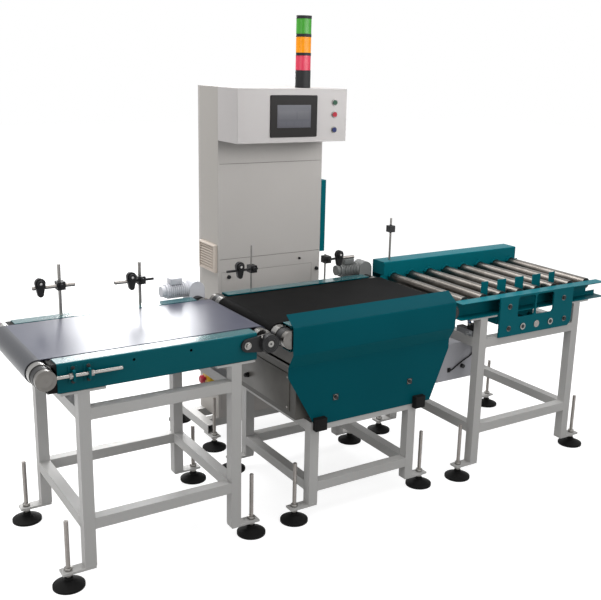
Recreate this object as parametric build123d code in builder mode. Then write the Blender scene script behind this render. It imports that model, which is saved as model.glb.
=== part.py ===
"""In-line checkweigher: an infeed belt, a weighing belt on a load cell, an outfeed roller
conveyor with a side pusher, and a control cabinet behind the line.

Millimetres, +Z up. The line runs along +X and the cabinet stands on the +Y side. The origin is
on the floor under the middle of the machine.
"""
import os

from build123d import *

os.makedirs("parts", exist_ok=True)

# Fits between pieces
running_fit = 0.05
touch_gap = 0.3

# Square tube of the stands
tube = 40
tube_wall = 2

# Levelling feet
pad_r = 55
pad_edge = 8
pad_height = 26
stud_r = 8
stud_top = 245
foot_reach = 54
foot_plate = 8
foot_plate_width = 44
leg_bottom = 60

# Belts and their drums
belt_width = 424
belt_thickness = 3
drum_r = 38
drum_overhang = 38
drum_length = belt_width + 2 * drum_overhang
axle_r = 12.5
drive_shaft_r = 12
belt_top = 804
belt_run_r = drum_r + running_fit + belt_thickness
drum_z = belt_top - belt_run_r

# Stations along the line
infeed_centres = 804
transfer_gap = 3.9
transfer_centres = 2 * belt_run_r + transfer_gap
weigh_centres = 771
roller_r = 25
roller_gap = 47.95
first_roller_step = belt_run_r + roller_gap + roller_r
roller_pitch = 107.3
roller_count = 8
outfeed_tail = 55
roller_span = roller_pitch * (roller_count - 1)
line_length = (
    belt_run_r + infeed_centres + transfer_centres + weigh_centres + first_roller_step
    + roller_span + outfeed_tail
)
line_start = -line_length / 2
infeed_tail_x = line_start + belt_run_r
infeed_head_x = infeed_tail_x + infeed_centres
weigh_tail_x = infeed_head_x + transfer_centres
weigh_head_x = weigh_tail_x + weigh_centres
first_roller_x = weigh_head_x + first_roller_step
line_end = first_roller_x + roller_span + outfeed_tail

# Folded side channels of the belt conveyors
channel_sheet = 3
channel_bend = 5
channel_height = 102
drum_to_web = 31
web_y = drum_length / 2 + drum_to_web
channel_flange = 61
rail_from_drum = 42.5
weigh_rail_from_tail = 14
weigh_rail_rise = 4

# Outfeed rails and rollers
outfeed_web_y = 255
outfeed_flange = 57
outfeed_rail_low = 725
outfeed_rail_high = 796
outfeed_rail_lead = 68
roller_z = 780
roller_pin_r = 7.5
roller_neck_r = 10
sprocket_r = 26.5
sprocket_width = 6
guard_near_y = 250
guard_depth = 90
guard_top = 858
guard_bottom = 792
guard_sheet = 2
guard_lead = 51
guard_tail = 35

# Side pusher
pusher_plate = 8
pusher_rod_r = 10
pusher_tube_r = 16
pusher_z = 657
finger_clearance = 3.65
finger_width = roller_pitch - 2 * (roller_r + finger_clearance)
finger_top = 840
finger_sheet = 4
comb_y = -187
plate_bottom = 622
plate_width = 444
plate_x_from_roller = 144

# Stands
stand_inset = 1
stand_width = 2 * (web_y - stand_inset)
infeed_leg_from_tail = 126
infeed_leg_span = 555
infeed_low_bar = 198
infeed_high_bar = 595
weigh_leg_from_tail = 130
weigh_leg_span = 477
weigh_low_bar = 111
weigh_stand_top = 408
outfeed_leg_from_roller = 64
outfeed_leg_span = 567
outfeed_low_bar = 195
outfeed_high_bar = 586
outfeed_stand_width = 620
mount_flat = 8
mount_flat_length = 150

# Apron in front of the weighing belt
apron_width = 778
apron_from_tail = 5
apron_sheet = 2
apron_reach = 33
apron_upper_y = -(web_y + apron_reach)
apron_crease = 809
apron_lip_reach = 22
apron_lip_y = -(web_y - apron_lip_reach)
apron_lip_top = 847
apron_bend_high = 701
apron_bend_low = 646
apron_taper = 606
apron_bottom = 392
apron_corner_inset_left = 123
apron_corner_inset_right = 88
apron_screw_z = 494
apron_screw_inset_left = 215
apron_screw_inset_right = 200
washer_side = 24
washer_sheet = 2
screw_head_r = 7
bolt_head_r = 9
screw_head = 6
buffer_side = 50
buffer_depth = 26

# Load cell under the weighing belt
carrier_height = 62
carrier_inset = 19
carrier_half_width = web_y - carrier_inset
housing_gap = 20
housing_rise = 12
housing_inset = 26
housing_half_width = web_y - housing_inset
housing_sheet = 3
load_cell_width = 60
load_cell_length = 260

# Gearmotors
motor_r = 29
motor_length = 88
cowl_r = 23
cowl_length = 18
gearbox_depth = 62
worm_rise = 60
gearbox_r = 36

# Cabinet
cabinet_width = 544
cabinet_depth = 197
cabinet_bottom = 105
cabinet_top = 1632
cabinet_sheet = 2
cabinet_gap = 297
cabinet_from_belt = web_y + cabinet_gap
cabinet_from_tail = 145
console_width = 551
console_depth = 181
console_bottom = 1404
console_sheet = 2
screen_case_width = 235
screen_case_height = 178
screen_width = 170
screen_height = 97
screen_from_left = 274
screen_centre_z = 1516
button_from_left = 483
button_heights = {"green_button": 1574, "red_button": 1522, "blue_button": 1455}
bezel_r = 14.5
cap_r = 10.5
button_travel = 4
tower_r = 34.5
tower_from_left = 392
tower_forward = 58
outrigger_from_left = 61
outrigger_front = 53
outrigger_length = 335
cabinet_foot_front = 78
cabinet_foot_back = 307

# Sensor posts
post_r = 6
sensor_rod_r = 5
post_inset = 19
post_y = web_y - post_inset
clamp_side = 30

# Across the line: the belts' centre line lies in front of the middle
front_reach = outfeed_web_y + outfeed_flange + pusher_plate + screw_head
back_reach = cabinet_from_belt + cabinet_foot_back + pad_r
belt_y = (front_reach - back_reach) / 2
cabinet_front = belt_y + cabinet_from_belt
cabinet_back = cabinet_front + cabinet_depth
cabinet_left = weigh_tail_x + cabinet_from_tail
cabinet_right = cabinet_left + cabinet_width

# Heights that follow
rail_high = belt_top
rail_low = rail_high - channel_height
weigh_rail_high = rail_high + weigh_rail_rise
weigh_rail_low = weigh_rail_high - channel_height
weigh_rail_start = weigh_tail_x + weigh_rail_from_tail
weigh_rail_end = weigh_head_x - rail_from_drum
infeed_rail_start = infeed_tail_x + rail_from_drum
infeed_rail_end = infeed_head_x - rail_from_drum
outfeed_start = first_roller_x - outfeed_rail_lead
hub_beyond_web = 26
collar_beyond_web = 4
hub_face = web_y + hub_beyond_web
collar_face = web_y + collar_beyond_web
drum_face = drum_length / 2
bearing_depth = 10
bearing_boss = 27
head_shaft_near = web_y + bearing_boss + 2
head_shaft_far = web_y + bearing_boss + gearbox_depth + 8


def save(piece, name):
    """Label a finished sub-part and write its file."""
    piece.label = name
    export_step(piece, f"parts/{name}.step")


def block(x0, x1, y0, y1, z0, z1, mode=Mode.ADD):
    """Add a rectangular block between two corners to the current part."""
    with BuildSketch(Plane.XY.offset(z0)) as outline:
        with Locations(((x0 + x1) / 2, (y0 + y1) / 2)):
            Rectangle(x1 - x0, y1 - y0)
    extrude(outline.sketch, amount=z1 - z0, mode=mode)


def disc_along_y(x, z, r, y0, y1, bore=0, mode=Mode.ADD):
    """Add a round piece whose axis runs across the line to the current part."""
    with BuildSketch(Plane.XZ.offset(-y0)) as outline:
        with Locations((x, z)):
            Circle(r)
            if bore:
                Circle(bore, mode=Mode.SUBTRACT)
    extrude(outline.sketch, amount=y0 - y1, mode=mode)


def disc_along_x(y, z, r, x0, x1, bore=0, mode=Mode.ADD):
    """Add a round piece whose axis runs along the line to the current part."""
    with BuildSketch(Plane.YZ.offset(x0)) as outline:
        with Locations((y, z)):
            Circle(r)
            if bore:
                Circle(bore, mode=Mode.SUBTRACT)
    extrude(outline.sketch, amount=x1 - x0, mode=mode)


def disc_along_z(x, y, r, z0, z1, bore=0, mode=Mode.ADD):
    """Add an upright round piece to the current part."""
    with BuildSketch(Plane.XY.offset(z0)) as outline:
        with Locations((x, y)):
            Circle(r)
            if bore:
                Circle(bore, mode=Mode.SUBTRACT)
    extrude(outline.sketch, amount=z1 - z0, mode=mode)


def welded_sheets(shell, x0, x1, y0, y1, z0, z1, edge):
    """Part a welded shell, open at its front or back, into its sides, floor, roof and face."""
    regions = (
        (x0, x0 + edge, z0, z1), (x1 - edge, x1, z0, z1), (x0 + edge, x1 - edge, z0, z0 + edge),
        (x0 + edge, x1 - edge, z1 - edge, z1), (x0 + edge, x1 - edge, z0 + edge, z1 - edge),
    )
    sheets = []
    for left, right, low, high in regions:
        with BuildPart() as sheet:
            add(shell)
            block(left, right, y0, y1, low, high, mode=Mode.INTERSECT)
        sheets.append(sheet.part)
    return sheets


def tube_section():
    """Draw the stands' square tube in the current sketch."""
    Rectangle(tube, tube)
    Rectangle(tube - 2 * tube_wall, tube - 2 * tube_wall, mode=Mode.SUBTRACT)


def tube_up(x, y, z0, z1):
    """A length of square tube standing up."""
    with BuildPart() as bar:
        with BuildSketch(Plane.XY.offset(z0)) as outline:
            with Locations((x, y)):
                tube_section()
        extrude(outline.sketch, amount=z1 - z0)
    return bar.part


def tube_along_x(x0, x1, y, z):
    """A length of square tube along the line."""
    with BuildPart() as bar:
        with BuildSketch(Plane.YZ.offset(x0)) as outline:
            with Locations((y, z)):
                tube_section()
        extrude(outline.sketch, amount=x1 - x0)
    return bar.part


def tube_along_y(y0, y1, x, z):
    """A length of square tube across the line."""
    with BuildPart() as bar:
        with BuildSketch(Plane.XZ.offset(-y0)) as outline:
            with Locations((x, z)):
                tube_section()
        extrude(outline.sketch, amount=y0 - y1)
    return bar.part


def foot_lug(x, y, outward):
    """The plate under a leg, with its rounded end and the hole for the foot's stud."""
    length = foot_reach + tube + 5
    middle = x + outward * (foot_reach + 5 + foot_plate_width / 2) / 2
    with BuildPart() as lug:
        with BuildSketch(Plane.XY.offset(leg_bottom - foot_plate)) as outline:
            with Locations((middle, y)):
                Rectangle(length + foot_plate_width / 2 - 5, foot_plate_width)
            with Locations((x + outward * (tube / 2 + foot_reach), y)):
                Circle(stud_r + touch_gap, mode=Mode.SUBTRACT)
        extrude(outline.sketch, amount=foot_plate)
    return lug.part


def stand(leg_x, leg_y, low_bar, high_bar, leg_top, flats):
    """The tubes, foot plates and mounting flats of a welded four-legged stand."""
    left, right = leg_x
    near, far = leg_y
    half = tube / 2
    pieces = []
    for x, outward in ((left, -1), (right, 1)):
        for y in leg_y:
            pieces.append(tube_up(x, y, leg_bottom, leg_top))
            pieces.append(foot_lug(x, y, outward))
            if flats:
                with BuildPart() as flat:
                    block(
                        x - mount_flat_length / 2, x + mount_flat_length / 2,
                        y - half, y + half, leg_top, leg_top + mount_flat,
                    )
                pieces.append(flat.part)
    for z in (low_bar + half, high_bar + half):
        for y in leg_y:
            pieces.append(tube_along_x(left + half, right - half, y, z))
        for x in leg_x:
            pieces.append(tube_along_y(near + half, far - half, x, z))
    return pieces


half_stand = (stand_width - tube) / 2
half_outfeed_stand = (outfeed_stand_width - tube) / 2
infeed_leg_x = (
    infeed_tail_x + infeed_leg_from_tail,
    infeed_tail_x + infeed_leg_from_tail + infeed_leg_span,
)
weigh_leg_x = (
    weigh_tail_x + weigh_leg_from_tail,
    weigh_tail_x + weigh_leg_from_tail + weigh_leg_span,
)
outfeed_leg_x = (
    first_roller_x + outfeed_leg_from_roller,
    first_roller_x + outfeed_leg_from_roller + outfeed_leg_span,
)
leg_y = (belt_y - half_stand, belt_y + half_stand)
outfeed_leg_y = (belt_y - half_outfeed_stand, belt_y + half_outfeed_stand)

infeed_stand = Compound(stand(
    infeed_leg_x, leg_y, infeed_low_bar, infeed_high_bar, rail_low - mount_flat, True,
))
save(infeed_stand, "infeed_stand")

# The apron's screws hold it to two uprights on the weigh stand's front beam
apron_left = weigh_tail_x + apron_from_tail
apron_right = apron_left + apron_width
apron_screw_x = (apron_left + apron_screw_inset_left, apron_right - apron_screw_inset_right)
beam_front = leg_y[0] - tube / 2
weigh_stand_pieces = stand(
    weigh_leg_x, leg_y, weigh_low_bar, weigh_stand_top - tube, weigh_stand_top, False,
)
for x in apron_screw_x:
    with BuildPart() as apron_upright:
        block(
            x - tube / 2, x + tube / 2, beam_front, beam_front + mount_flat,
            weigh_stand_top, apron_screw_z + tube,
        )
    weigh_stand_pieces.append(apron_upright.part)
weigh_stand = Compound(weigh_stand_pieces)
save(weigh_stand, "weigh_stand")

outfeed_stand = Compound(stand(
    outfeed_leg_x, outfeed_leg_y, outfeed_low_bar, outfeed_high_bar,
    outfeed_rail_low - mount_flat, True,
))
save(outfeed_stand, "outfeed_stand")

# Cabinet base: two outriggers across the line, two bearers under the cabinet between them
outrigger_x = (cabinet_left - outrigger_from_left, cabinet_right + outrigger_from_left)
outrigger_z = cabinet_bottom - tube / 2
outrigger_y = (cabinet_front - outrigger_front, cabinet_front - outrigger_front + outrigger_length)
cabinet_foot_y = (cabinet_front - cabinet_foot_front, cabinet_front + cabinet_foot_back)
base_pieces = [tube_along_y(*outrigger_y, x, outrigger_z) for x in outrigger_x]
for y in (cabinet_front + tube / 2 + 10, cabinet_back - tube / 2 - 10):
    base_pieces.append(
        tube_along_x(outrigger_x[0] + tube / 2, outrigger_x[1] - tube / 2, y, outrigger_z)
    )
for x in outrigger_x:
    for foot_y, tube_end, outward in zip(cabinet_foot_y, outrigger_y, (-1, 1)):
        inner = tube_end - outward * tube
        outer = foot_y + outward * foot_plate_width / 2
        with BuildPart() as outrigger_lug:
            with BuildSketch(Plane.XY.offset(cabinet_bottom - tube - foot_plate)):
                with Locations((x, (inner + outer) / 2)):
                    Rectangle(foot_plate_width, abs(outer - inner))
                with Locations((x, foot_y)):
                    Circle(stud_r + touch_gap, mode=Mode.SUBTRACT)
            extrude(amount=foot_plate)
        base_pieces.append(outrigger_lug.part)
cabinet_base = Compound(base_pieces)
save(cabinet_base, "cabinet_base")

# Levelling feet: a rubber pad, and the stud that passes the plate above it
foot_spots = []
for pair_x, pair_y in (
    (infeed_leg_x, leg_y), (weigh_leg_x, leg_y), (outfeed_leg_x, outfeed_leg_y),
):
    for x, outward in zip(pair_x, (-1, 1)):
        for y in pair_y:
            foot_spots.append((x + outward * (tube / 2 + foot_reach), y))
for x in outrigger_x:
    for y in cabinet_foot_y:
        foot_spots.append((x, y))
pad_neck_r = 18
standing = (Align.CENTER, Align.CENTER, Align.MIN)

with BuildPart() as foot_pads:
    with Locations([(x, y, 0) for x, y in foot_spots]):
        Cylinder(pad_r, pad_edge, align=standing)
        with Locations((0, 0, pad_edge)):
            Cone(pad_r, pad_neck_r, pad_height - pad_edge, align=standing)
save(foot_pads.part, "foot_pads")

with BuildPart() as foot_studs:
    with Locations([(x, y, pad_height) for x, y in foot_spots]):
        Cylinder(stud_r, stud_top - pad_height, align=standing)
save(foot_studs.part, "foot_studs")


def side_channel(side, x0, x1, low, high, web, flange):
    """One folded side channel: an upright web with its flanges turned towards the belt."""
    inner = web - flange + channel_sheet / 2
    outer = web - channel_sheet / 2
    with BuildSketch(Plane.YZ.offset(x0)) as outline:
        with BuildLine():
            FilletPolyline(
                (belt_y + side * inner, low + channel_sheet / 2),
                (belt_y + side * outer, low + channel_sheet / 2),
                (belt_y + side * outer, high - channel_sheet / 2),
                (belt_y + side * inner, high - channel_sheet / 2),
                radius=channel_bend,
            )
        trace(line_width=channel_sheet)
    extrude(outline.sketch, amount=x1 - x0)


# Take-up screws: each passes two lugs on the channel and pulls the drum's hub block
take_up_r = 6
take_up_y = (collar_face + hub_face) / 2
take_up_length = 210
lug_sheet = 6
lug_offsets = (49, 100)
lug_height = 56
lug_width = 30
lug_base = 4
channel_hole_r = 5
channel_holes = (299, 505)
channel_hole_z = 778


def take_up_lugs(side, rail_start, web):
    """The two bolted angle lugs that hold one take-up screw."""
    face = belt_y + side * web
    tip = belt_y + side * (take_up_y + 2 * take_up_r)
    for along in lug_offsets:
        x = rail_start + along
        block(x - lug_width / 2, x + lug_width / 2, min(face, face + side * lug_base),
              max(face, face + side * lug_base), drum_z - lug_height / 2, drum_z + lug_height / 2)
        block(x - lug_sheet / 2, x + lug_sheet / 2, min(face, tip), max(face, tip),
              drum_z - lug_height / 2 + 10, drum_z + lug_height / 2 - 10)
    disc_along_x(belt_y + side * take_up_y, drum_z, take_up_r + running_fit,
                 rail_start, rail_start + take_up_length, mode=Mode.SUBTRACT)


with BuildPart() as infeed_side_rails:
    for side in (-1, 1):
        side_channel(side, infeed_rail_start, infeed_rail_end, rail_low, rail_high, web_y,
                     channel_flange)
    with BuildSketch(Plane.XZ.offset(-(belt_y + web_y + channel_sheet))):
        with Locations([(infeed_tail_x + x, channel_hole_z) for x in channel_holes]):
            Circle(channel_hole_r)
    extrude(amount=2 * (web_y + channel_sheet), mode=Mode.SUBTRACT)
    for side in (-1, 1):
        take_up_lugs(side, infeed_rail_start, web_y)
save(infeed_side_rails.part, "infeed_side_rails")

collar_r = 35
with BuildPart() as weigh_side_rails:
    for side in (-1, 1):
        side_channel(side, weigh_rail_start, weigh_rail_end, weigh_rail_low, weigh_rail_high,
                     web_y, channel_flange)
        take_up_lugs(side, weigh_tail_x + rail_from_drum, web_y)
    disc_along_y(weigh_tail_x, drum_z, collar_r + 2, belt_y - hub_face, belt_y + hub_face,
                 mode=Mode.SUBTRACT)
save(weigh_side_rails.part, "weigh_side_rails")

# Slider beds: a folded plate under the belt's carrying run, on three cross members
bed_sheet = 3
bed_skirt = 24
bed_half_width = 212
cross_member_height = 26
cross_member_width = 40
bed_end_gap = 4


def slider_bed(tail_x, head_x, web):
    """The bed plate with its down-turned edges and the cross members between the webs."""
    bed_top = belt_top - belt_thickness
    start = tail_x + drum_r + bed_end_gap
    end = head_x - drum_r - bed_end_gap
    with BuildPart() as sheet:
        with BuildSketch(Plane.YZ.offset(start)) as outline:
            with BuildLine():
                FilletPolyline(
                    (belt_y - bed_half_width + bed_sheet / 2, bed_top - bed_skirt),
                    (belt_y - bed_half_width + bed_sheet / 2, bed_top - bed_sheet / 2),
                    (belt_y + bed_half_width - bed_sheet / 2, bed_top - bed_sheet / 2),
                    (belt_y + bed_half_width - bed_sheet / 2, bed_top - bed_skirt),
                    radius=channel_bend,
                )
            trace(line_width=bed_sheet)
        extrude(outline.sketch, amount=end - start)
    pieces = [sheet.part]
    inner = web - channel_sheet
    high = bed_top - bed_skirt
    for share in (0.2, 0.5, 0.8):
        x = start + share * (end - start)
        with BuildPart() as cross_member:
            block(x - cross_member_width / 2, x + cross_member_width / 2,
                  belt_y - inner, belt_y + inner, high - cross_member_height, high)
        pieces.append(cross_member.part)
    return Compound(pieces)


infeed_bed = slider_bed(infeed_tail_x, infeed_head_x, web_y)
save(infeed_bed, "infeed_bed")

weigh_bed = slider_bed(weigh_tail_x, weigh_head_x, web_y)
save(weigh_bed, "weigh_bed")


def endless_belt(tail_x, head_x):
    """The belt's closed loop round both drums."""
    centres = head_x - tail_x
    with BuildSketch(Plane.XZ.offset(-(belt_y - belt_width / 2))) as outline:
        with Locations(((tail_x + head_x) / 2, drum_z)):
            SlotCenterToCenter(centres, 2 * belt_run_r)
            SlotCenterToCenter(centres, 2 * (belt_run_r - belt_thickness), mode=Mode.SUBTRACT)
    extrude(outline.sketch, amount=-belt_width)


with BuildPart() as infeed_belt:
    endless_belt(infeed_tail_x, infeed_head_x)
save(infeed_belt.part, "infeed_belt")

with BuildPart() as weigh_belt:
    endless_belt(weigh_tail_x, weigh_head_x)
save(weigh_belt.part, "weigh_belt")

# Drums, closed and kept solid inside. The tail drum runs on a dead axle.
with BuildPart() as infeed_tail_drum:
    disc_along_y(infeed_tail_x, drum_z, drum_r, belt_y - drum_face, belt_y + drum_face,
                 bore=axle_r + running_fit)
save(infeed_tail_drum.part, "infeed_tail_drum")

with BuildPart() as weigh_tail_drum:
    disc_along_y(weigh_tail_x, drum_z, drum_r, belt_y - drum_face, belt_y + drum_face,
                 bore=axle_r + running_fit)
save(weigh_tail_drum.part, "weigh_tail_drum")

with BuildPart() as infeed_head_drum:
    disc_along_y(infeed_head_x, drum_z, drum_r, belt_y - drum_face, belt_y + drum_face)
    disc_along_y(infeed_head_x, drum_z, drive_shaft_r, belt_y - head_shaft_near,
                 belt_y + head_shaft_far)
save(infeed_head_drum.part, "infeed_head_drum")

with BuildPart() as weigh_head_drum:
    disc_along_y(weigh_head_x, drum_z, drum_r, belt_y - drum_face, belt_y + drum_face)
    disc_along_y(weigh_head_x, drum_z, drive_shaft_r, belt_y - head_shaft_near,
                 belt_y + head_shaft_far)
save(weigh_head_drum.part, "weigh_head_drum")

# Tail axles, each one piece with its end collars and hub blocks, and the take-up screws
hub_r = 34
collar_gap = 0.5
screw_depth = 14
take_up_pieces = []
for tail_x in (infeed_tail_x, weigh_tail_x):
    screw_end = tail_x + rail_from_drum + take_up_length
    hub_bottom = tail_x + hub_r - screw_depth
    with BuildPart() as axle:
        disc_along_y(tail_x, drum_z, axle_r, belt_y - collar_face, belt_y + collar_face)
        for side in (-1, 1):
            inner = belt_y + side * (drum_face + collar_gap)
            middle = belt_y + side * collar_face
            outer = belt_y + side * hub_face
            disc_along_y(tail_x, drum_z, collar_r, min(inner, middle), max(inner, middle))
            disc_along_y(tail_x, drum_z, hub_r, min(middle, outer), max(middle, outer))
            disc_along_x(belt_y + side * take_up_y, drum_z, take_up_r, hub_bottom,
                         tail_x + hub_r, mode=Mode.SUBTRACT)
    take_up_pieces.append(axle.part)
    for side in (-1, 1):
        with BuildPart() as take_up_screw:
            disc_along_x(belt_y + side * take_up_y, drum_z, take_up_r, hub_bottom, screw_end)
        take_up_pieces.append(take_up_screw.part)
tail_take_ups = Compound(take_up_pieces)
save(tail_take_ups, "tail_take_ups")

# Head bearings: a casting with an arm along the web and a round boss
arm_length = 108
arm_r = 24
boss_r = 34
with BuildPart() as head_bearings:
    for head_x in (infeed_head_x, weigh_head_x):
        for side in (-1, 1):
            inner = belt_y + side * web_y
            outer = inner + side * bearing_depth
            tip = inner + side * bearing_boss
            with BuildSketch(Plane.XZ.offset(-inner)):
                with BuildLine():
                    CenterArc((head_x, drum_z), boss_r, 0, 360)
                    CenterArc((head_x - arm_length + arm_r, drum_z), arm_r, 0, 360)
                make_hull()
            extrude(amount=inner - outer)
            disc_along_y(head_x, drum_z, boss_r, min(inner, tip), max(inner, tip))
            disc_along_y(head_x, drum_z, drive_shaft_r + running_fit, min(inner, tip),
                         max(inner, tip), mode=Mode.SUBTRACT)
save(head_bearings.part, "head_bearings")

# Gearmotors: a worm gearbox on each drive shaft with its motor lying along the line
motor_gap = 6
flange_r = 30.5


def gearmotor(x, z, y0, rise, towards, shaft_r):
    """A gearbox bored for its drive shaft, and the motor flanged to its worm."""
    y1 = y0 + gearbox_depth
    motor_y = (y0 + y1) / 2
    motor_z = z + rise
    with BuildPart() as gearbox:
        with BuildSketch(Plane.XZ.offset(-y0)) as outline:
            with BuildLine():
                CenterArc((x, z), gearbox_r, 0, 360)
                CenterArc((x, motor_z), gearbox_r - 2, 0, 360)
            make_hull()
        extrude(outline.sketch, amount=y0 - y1)
        disc_along_y(x, z, shaft_r + running_fit, y0, y1, mode=Mode.SUBTRACT)
    face = x + towards * gearbox_r
    flange = face + towards * motor_gap
    frame_end = flange + towards * motor_length
    cowl_end = frame_end + towards * cowl_length
    with BuildPart() as motor:
        for start, stop, r in (
            (face, flange, flange_r), (flange, frame_end, motor_r), (frame_end, cowl_end, cowl_r),
        ):
            disc_along_x(motor_y, motor_z, r, min(start, stop), max(start, stop))
    return [gearbox.part, motor.part]


drive_roller = 3
drive_roller_x = first_roller_x + drive_roller * roller_pitch
guard_far_y = guard_near_y + guard_depth
belt_drive_y = belt_y + web_y + bearing_boss
gearmotors = Compound(
    gearmotor(infeed_head_x, drum_z, belt_drive_y, worm_rise, -1, drive_shaft_r)
    + gearmotor(weigh_head_x, drum_z, belt_drive_y, worm_rise, -1, drive_shaft_r)
    + gearmotor(drive_roller_x, roller_z, belt_y + guard_far_y, -worm_rise, 1, drive_shaft_r)
)
save(gearmotors, "gearmotors")

# Weigh frame, load cell and its housing on the weigh stand
carrier_sheet = 5
carrier_start = weigh_tail_x + 41
carrier_end = weigh_head_x - 25
carrier_low = weigh_rail_low - carrier_height
carrier_plate = 8
load_cell_x = (carrier_start + carrier_end) / 2
with BuildPart() as weigh_carrier:
    block(carrier_start, carrier_end, belt_y - carrier_half_width, belt_y + carrier_half_width,
          carrier_low, weigh_rail_low)
    block(carrier_start + carrier_sheet, carrier_end - carrier_sheet,
          belt_y - carrier_half_width + carrier_sheet, belt_y + carrier_half_width - carrier_sheet,
          carrier_low, weigh_rail_low, mode=Mode.SUBTRACT)
    block(load_cell_x - load_cell_length / 2, load_cell_x + load_cell_length / 2,
          belt_y - carrier_half_width + carrier_sheet, belt_y + carrier_half_width - carrier_sheet,
          carrier_low, carrier_low + carrier_plate)
save(weigh_carrier.part, "weigh_carrier")

housing_start = carrier_start + 15
housing_end = carrier_end - 15
housing_low = weigh_stand_top + housing_rise
housing_high = carrier_low - housing_gap
with BuildPart() as load_cell_housing:
    block(housing_start, housing_end, belt_y - housing_half_width, belt_y + housing_half_width,
          housing_low, housing_high)
    block(housing_start + housing_sheet, housing_end - housing_sheet,
          belt_y - housing_half_width + housing_sheet, belt_y + housing_half_width - housing_sheet,
          housing_low + housing_sheet, housing_high, mode=Mode.SUBTRACT)
    for x in weigh_leg_x:
        for y in (belt_y - housing_half_width / 2, belt_y + housing_half_width / 2):
            block(x - tube / 2, x + tube / 2, y - tube / 2, y + tube / 2,
                  weigh_stand_top, housing_low)
save(load_cell_housing.part, "load_cell_housing")

cell_height = 60
cell_eye_r = 17
cell_spacer = 24
cell_foot = 70
cell_low = carrier_low - cell_spacer - cell_height
cell_start = load_cell_x - load_cell_length / 2
cell_end = load_cell_x + load_cell_length / 2
cell_near = belt_y - load_cell_width / 2
cell_far = belt_y + load_cell_width / 2
with BuildPart() as pedestal:
    block(cell_start, cell_start + cell_foot, cell_near, cell_far,
          housing_low + housing_sheet, cell_low)
with BuildPart() as cell:
    block(cell_start, cell_end, cell_near, cell_far, cell_low, cell_low + cell_height)
    with BuildSketch(Plane.XZ.offset(-cell_near)):
        with Locations((load_cell_x, cell_low + cell_height / 2)):
            SlotCenterToCenter(load_cell_length / 4, 2 * cell_eye_r)
    extrude(amount=-load_cell_width, mode=Mode.SUBTRACT)
with BuildPart() as spacer:
    block(cell_end - cell_foot, cell_end, cell_near, cell_far, cell_low + cell_height, carrier_low)
load_cell = Compound([pedestal.part, cell.part, spacer.part])
save(load_cell, "load_cell")

# Apron: a folded sheet with tapered lower corners, screwed to the weigh stand's front
apron_lower_y = -stand_width / 2
with BuildPart() as apron:
    with BuildSketch(Plane.YZ.offset(apron_left)):
        with BuildLine():
            FilletPolyline(
                (belt_y + apron_lower_y - apron_sheet / 2, apron_bottom),
                (belt_y + apron_lower_y - apron_sheet / 2, apron_bend_low),
                (belt_y + apron_upper_y + apron_sheet / 2, apron_bend_high),
                (belt_y + apron_upper_y + apron_sheet / 2, apron_crease),
                (belt_y + apron_lip_y, apron_lip_top),
                radius=channel_bend,
            )
        trace(line_width=apron_sheet)
    extrude(amount=apron_width)
    with BuildSketch(Plane.XZ.offset(-(belt_y + apron_upper_y - apron_sheet))):
        with BuildLine():
            Polyline(
                (apron_left, apron_lip_top + apron_sheet),
                (apron_right, apron_lip_top + apron_sheet),
                (apron_right, apron_taper),
                (apron_right - apron_corner_inset_right, apron_bottom),
                (apron_left + apron_corner_inset_left, apron_bottom),
                (apron_left, apron_taper),
                close=True,
            )
        make_face()
    extrude(amount=apron_upper_y, mode=Mode.INTERSECT)
save(apron.part, "apron")

# Black rubber: two buffers on the apron's lower corners, and the ends of the infeed channels
apron_face = belt_y + apron_lower_y - apron_sheet
buffer_z = apron_bottom + 9
buffer_left_x = apron_left + apron_corner_inset_left + 17
buffer_right_x = apron_right - apron_corner_inset_right - 66
end_clearance = 5
rubber_pieces = []
for x in (buffer_left_x, buffer_right_x):
    with BuildPart() as buffer:
        block(x - buffer_side / 2, x + buffer_side / 2, apron_face - buffer_depth, apron_face,
              buffer_z - buffer_side / 2, buffer_z + buffer_side / 2)
        fillet(buffer.faces().sort_by(Axis.Y)[0].edges(), 4)
    rubber_pieces.append(buffer.part)
for side in (-1, 1):
    inner = belt_y + side * (web_y - channel_flange)
    outer = belt_y + side * (web_y - channel_sheet)
    with BuildPart() as channel_end:
        block(infeed_tail_x, infeed_rail_start + 25, min(inner, outer), max(inner, outer),
              rail_low + channel_sheet, rail_high - channel_sheet)
        disc_along_y(infeed_tail_x, drum_z, drum_r + end_clearance, min(inner, outer),
                     max(inner, outer), mode=Mode.SUBTRACT)
        block(infeed_tail_x, infeed_tail_x + 12, min(inner, outer), max(inner, outer),
              rail_low, rail_high, mode=Mode.SUBTRACT)
        chamfer(channel_end.edges().filter_by(Axis.X), channel_bend)
    rubber_pieces.append(channel_end.part)
rubber_blocks = Compound([solid for piece in rubber_pieces for solid in piece.solids()])
save(rubber_blocks, "rubber_blocks")

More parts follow.
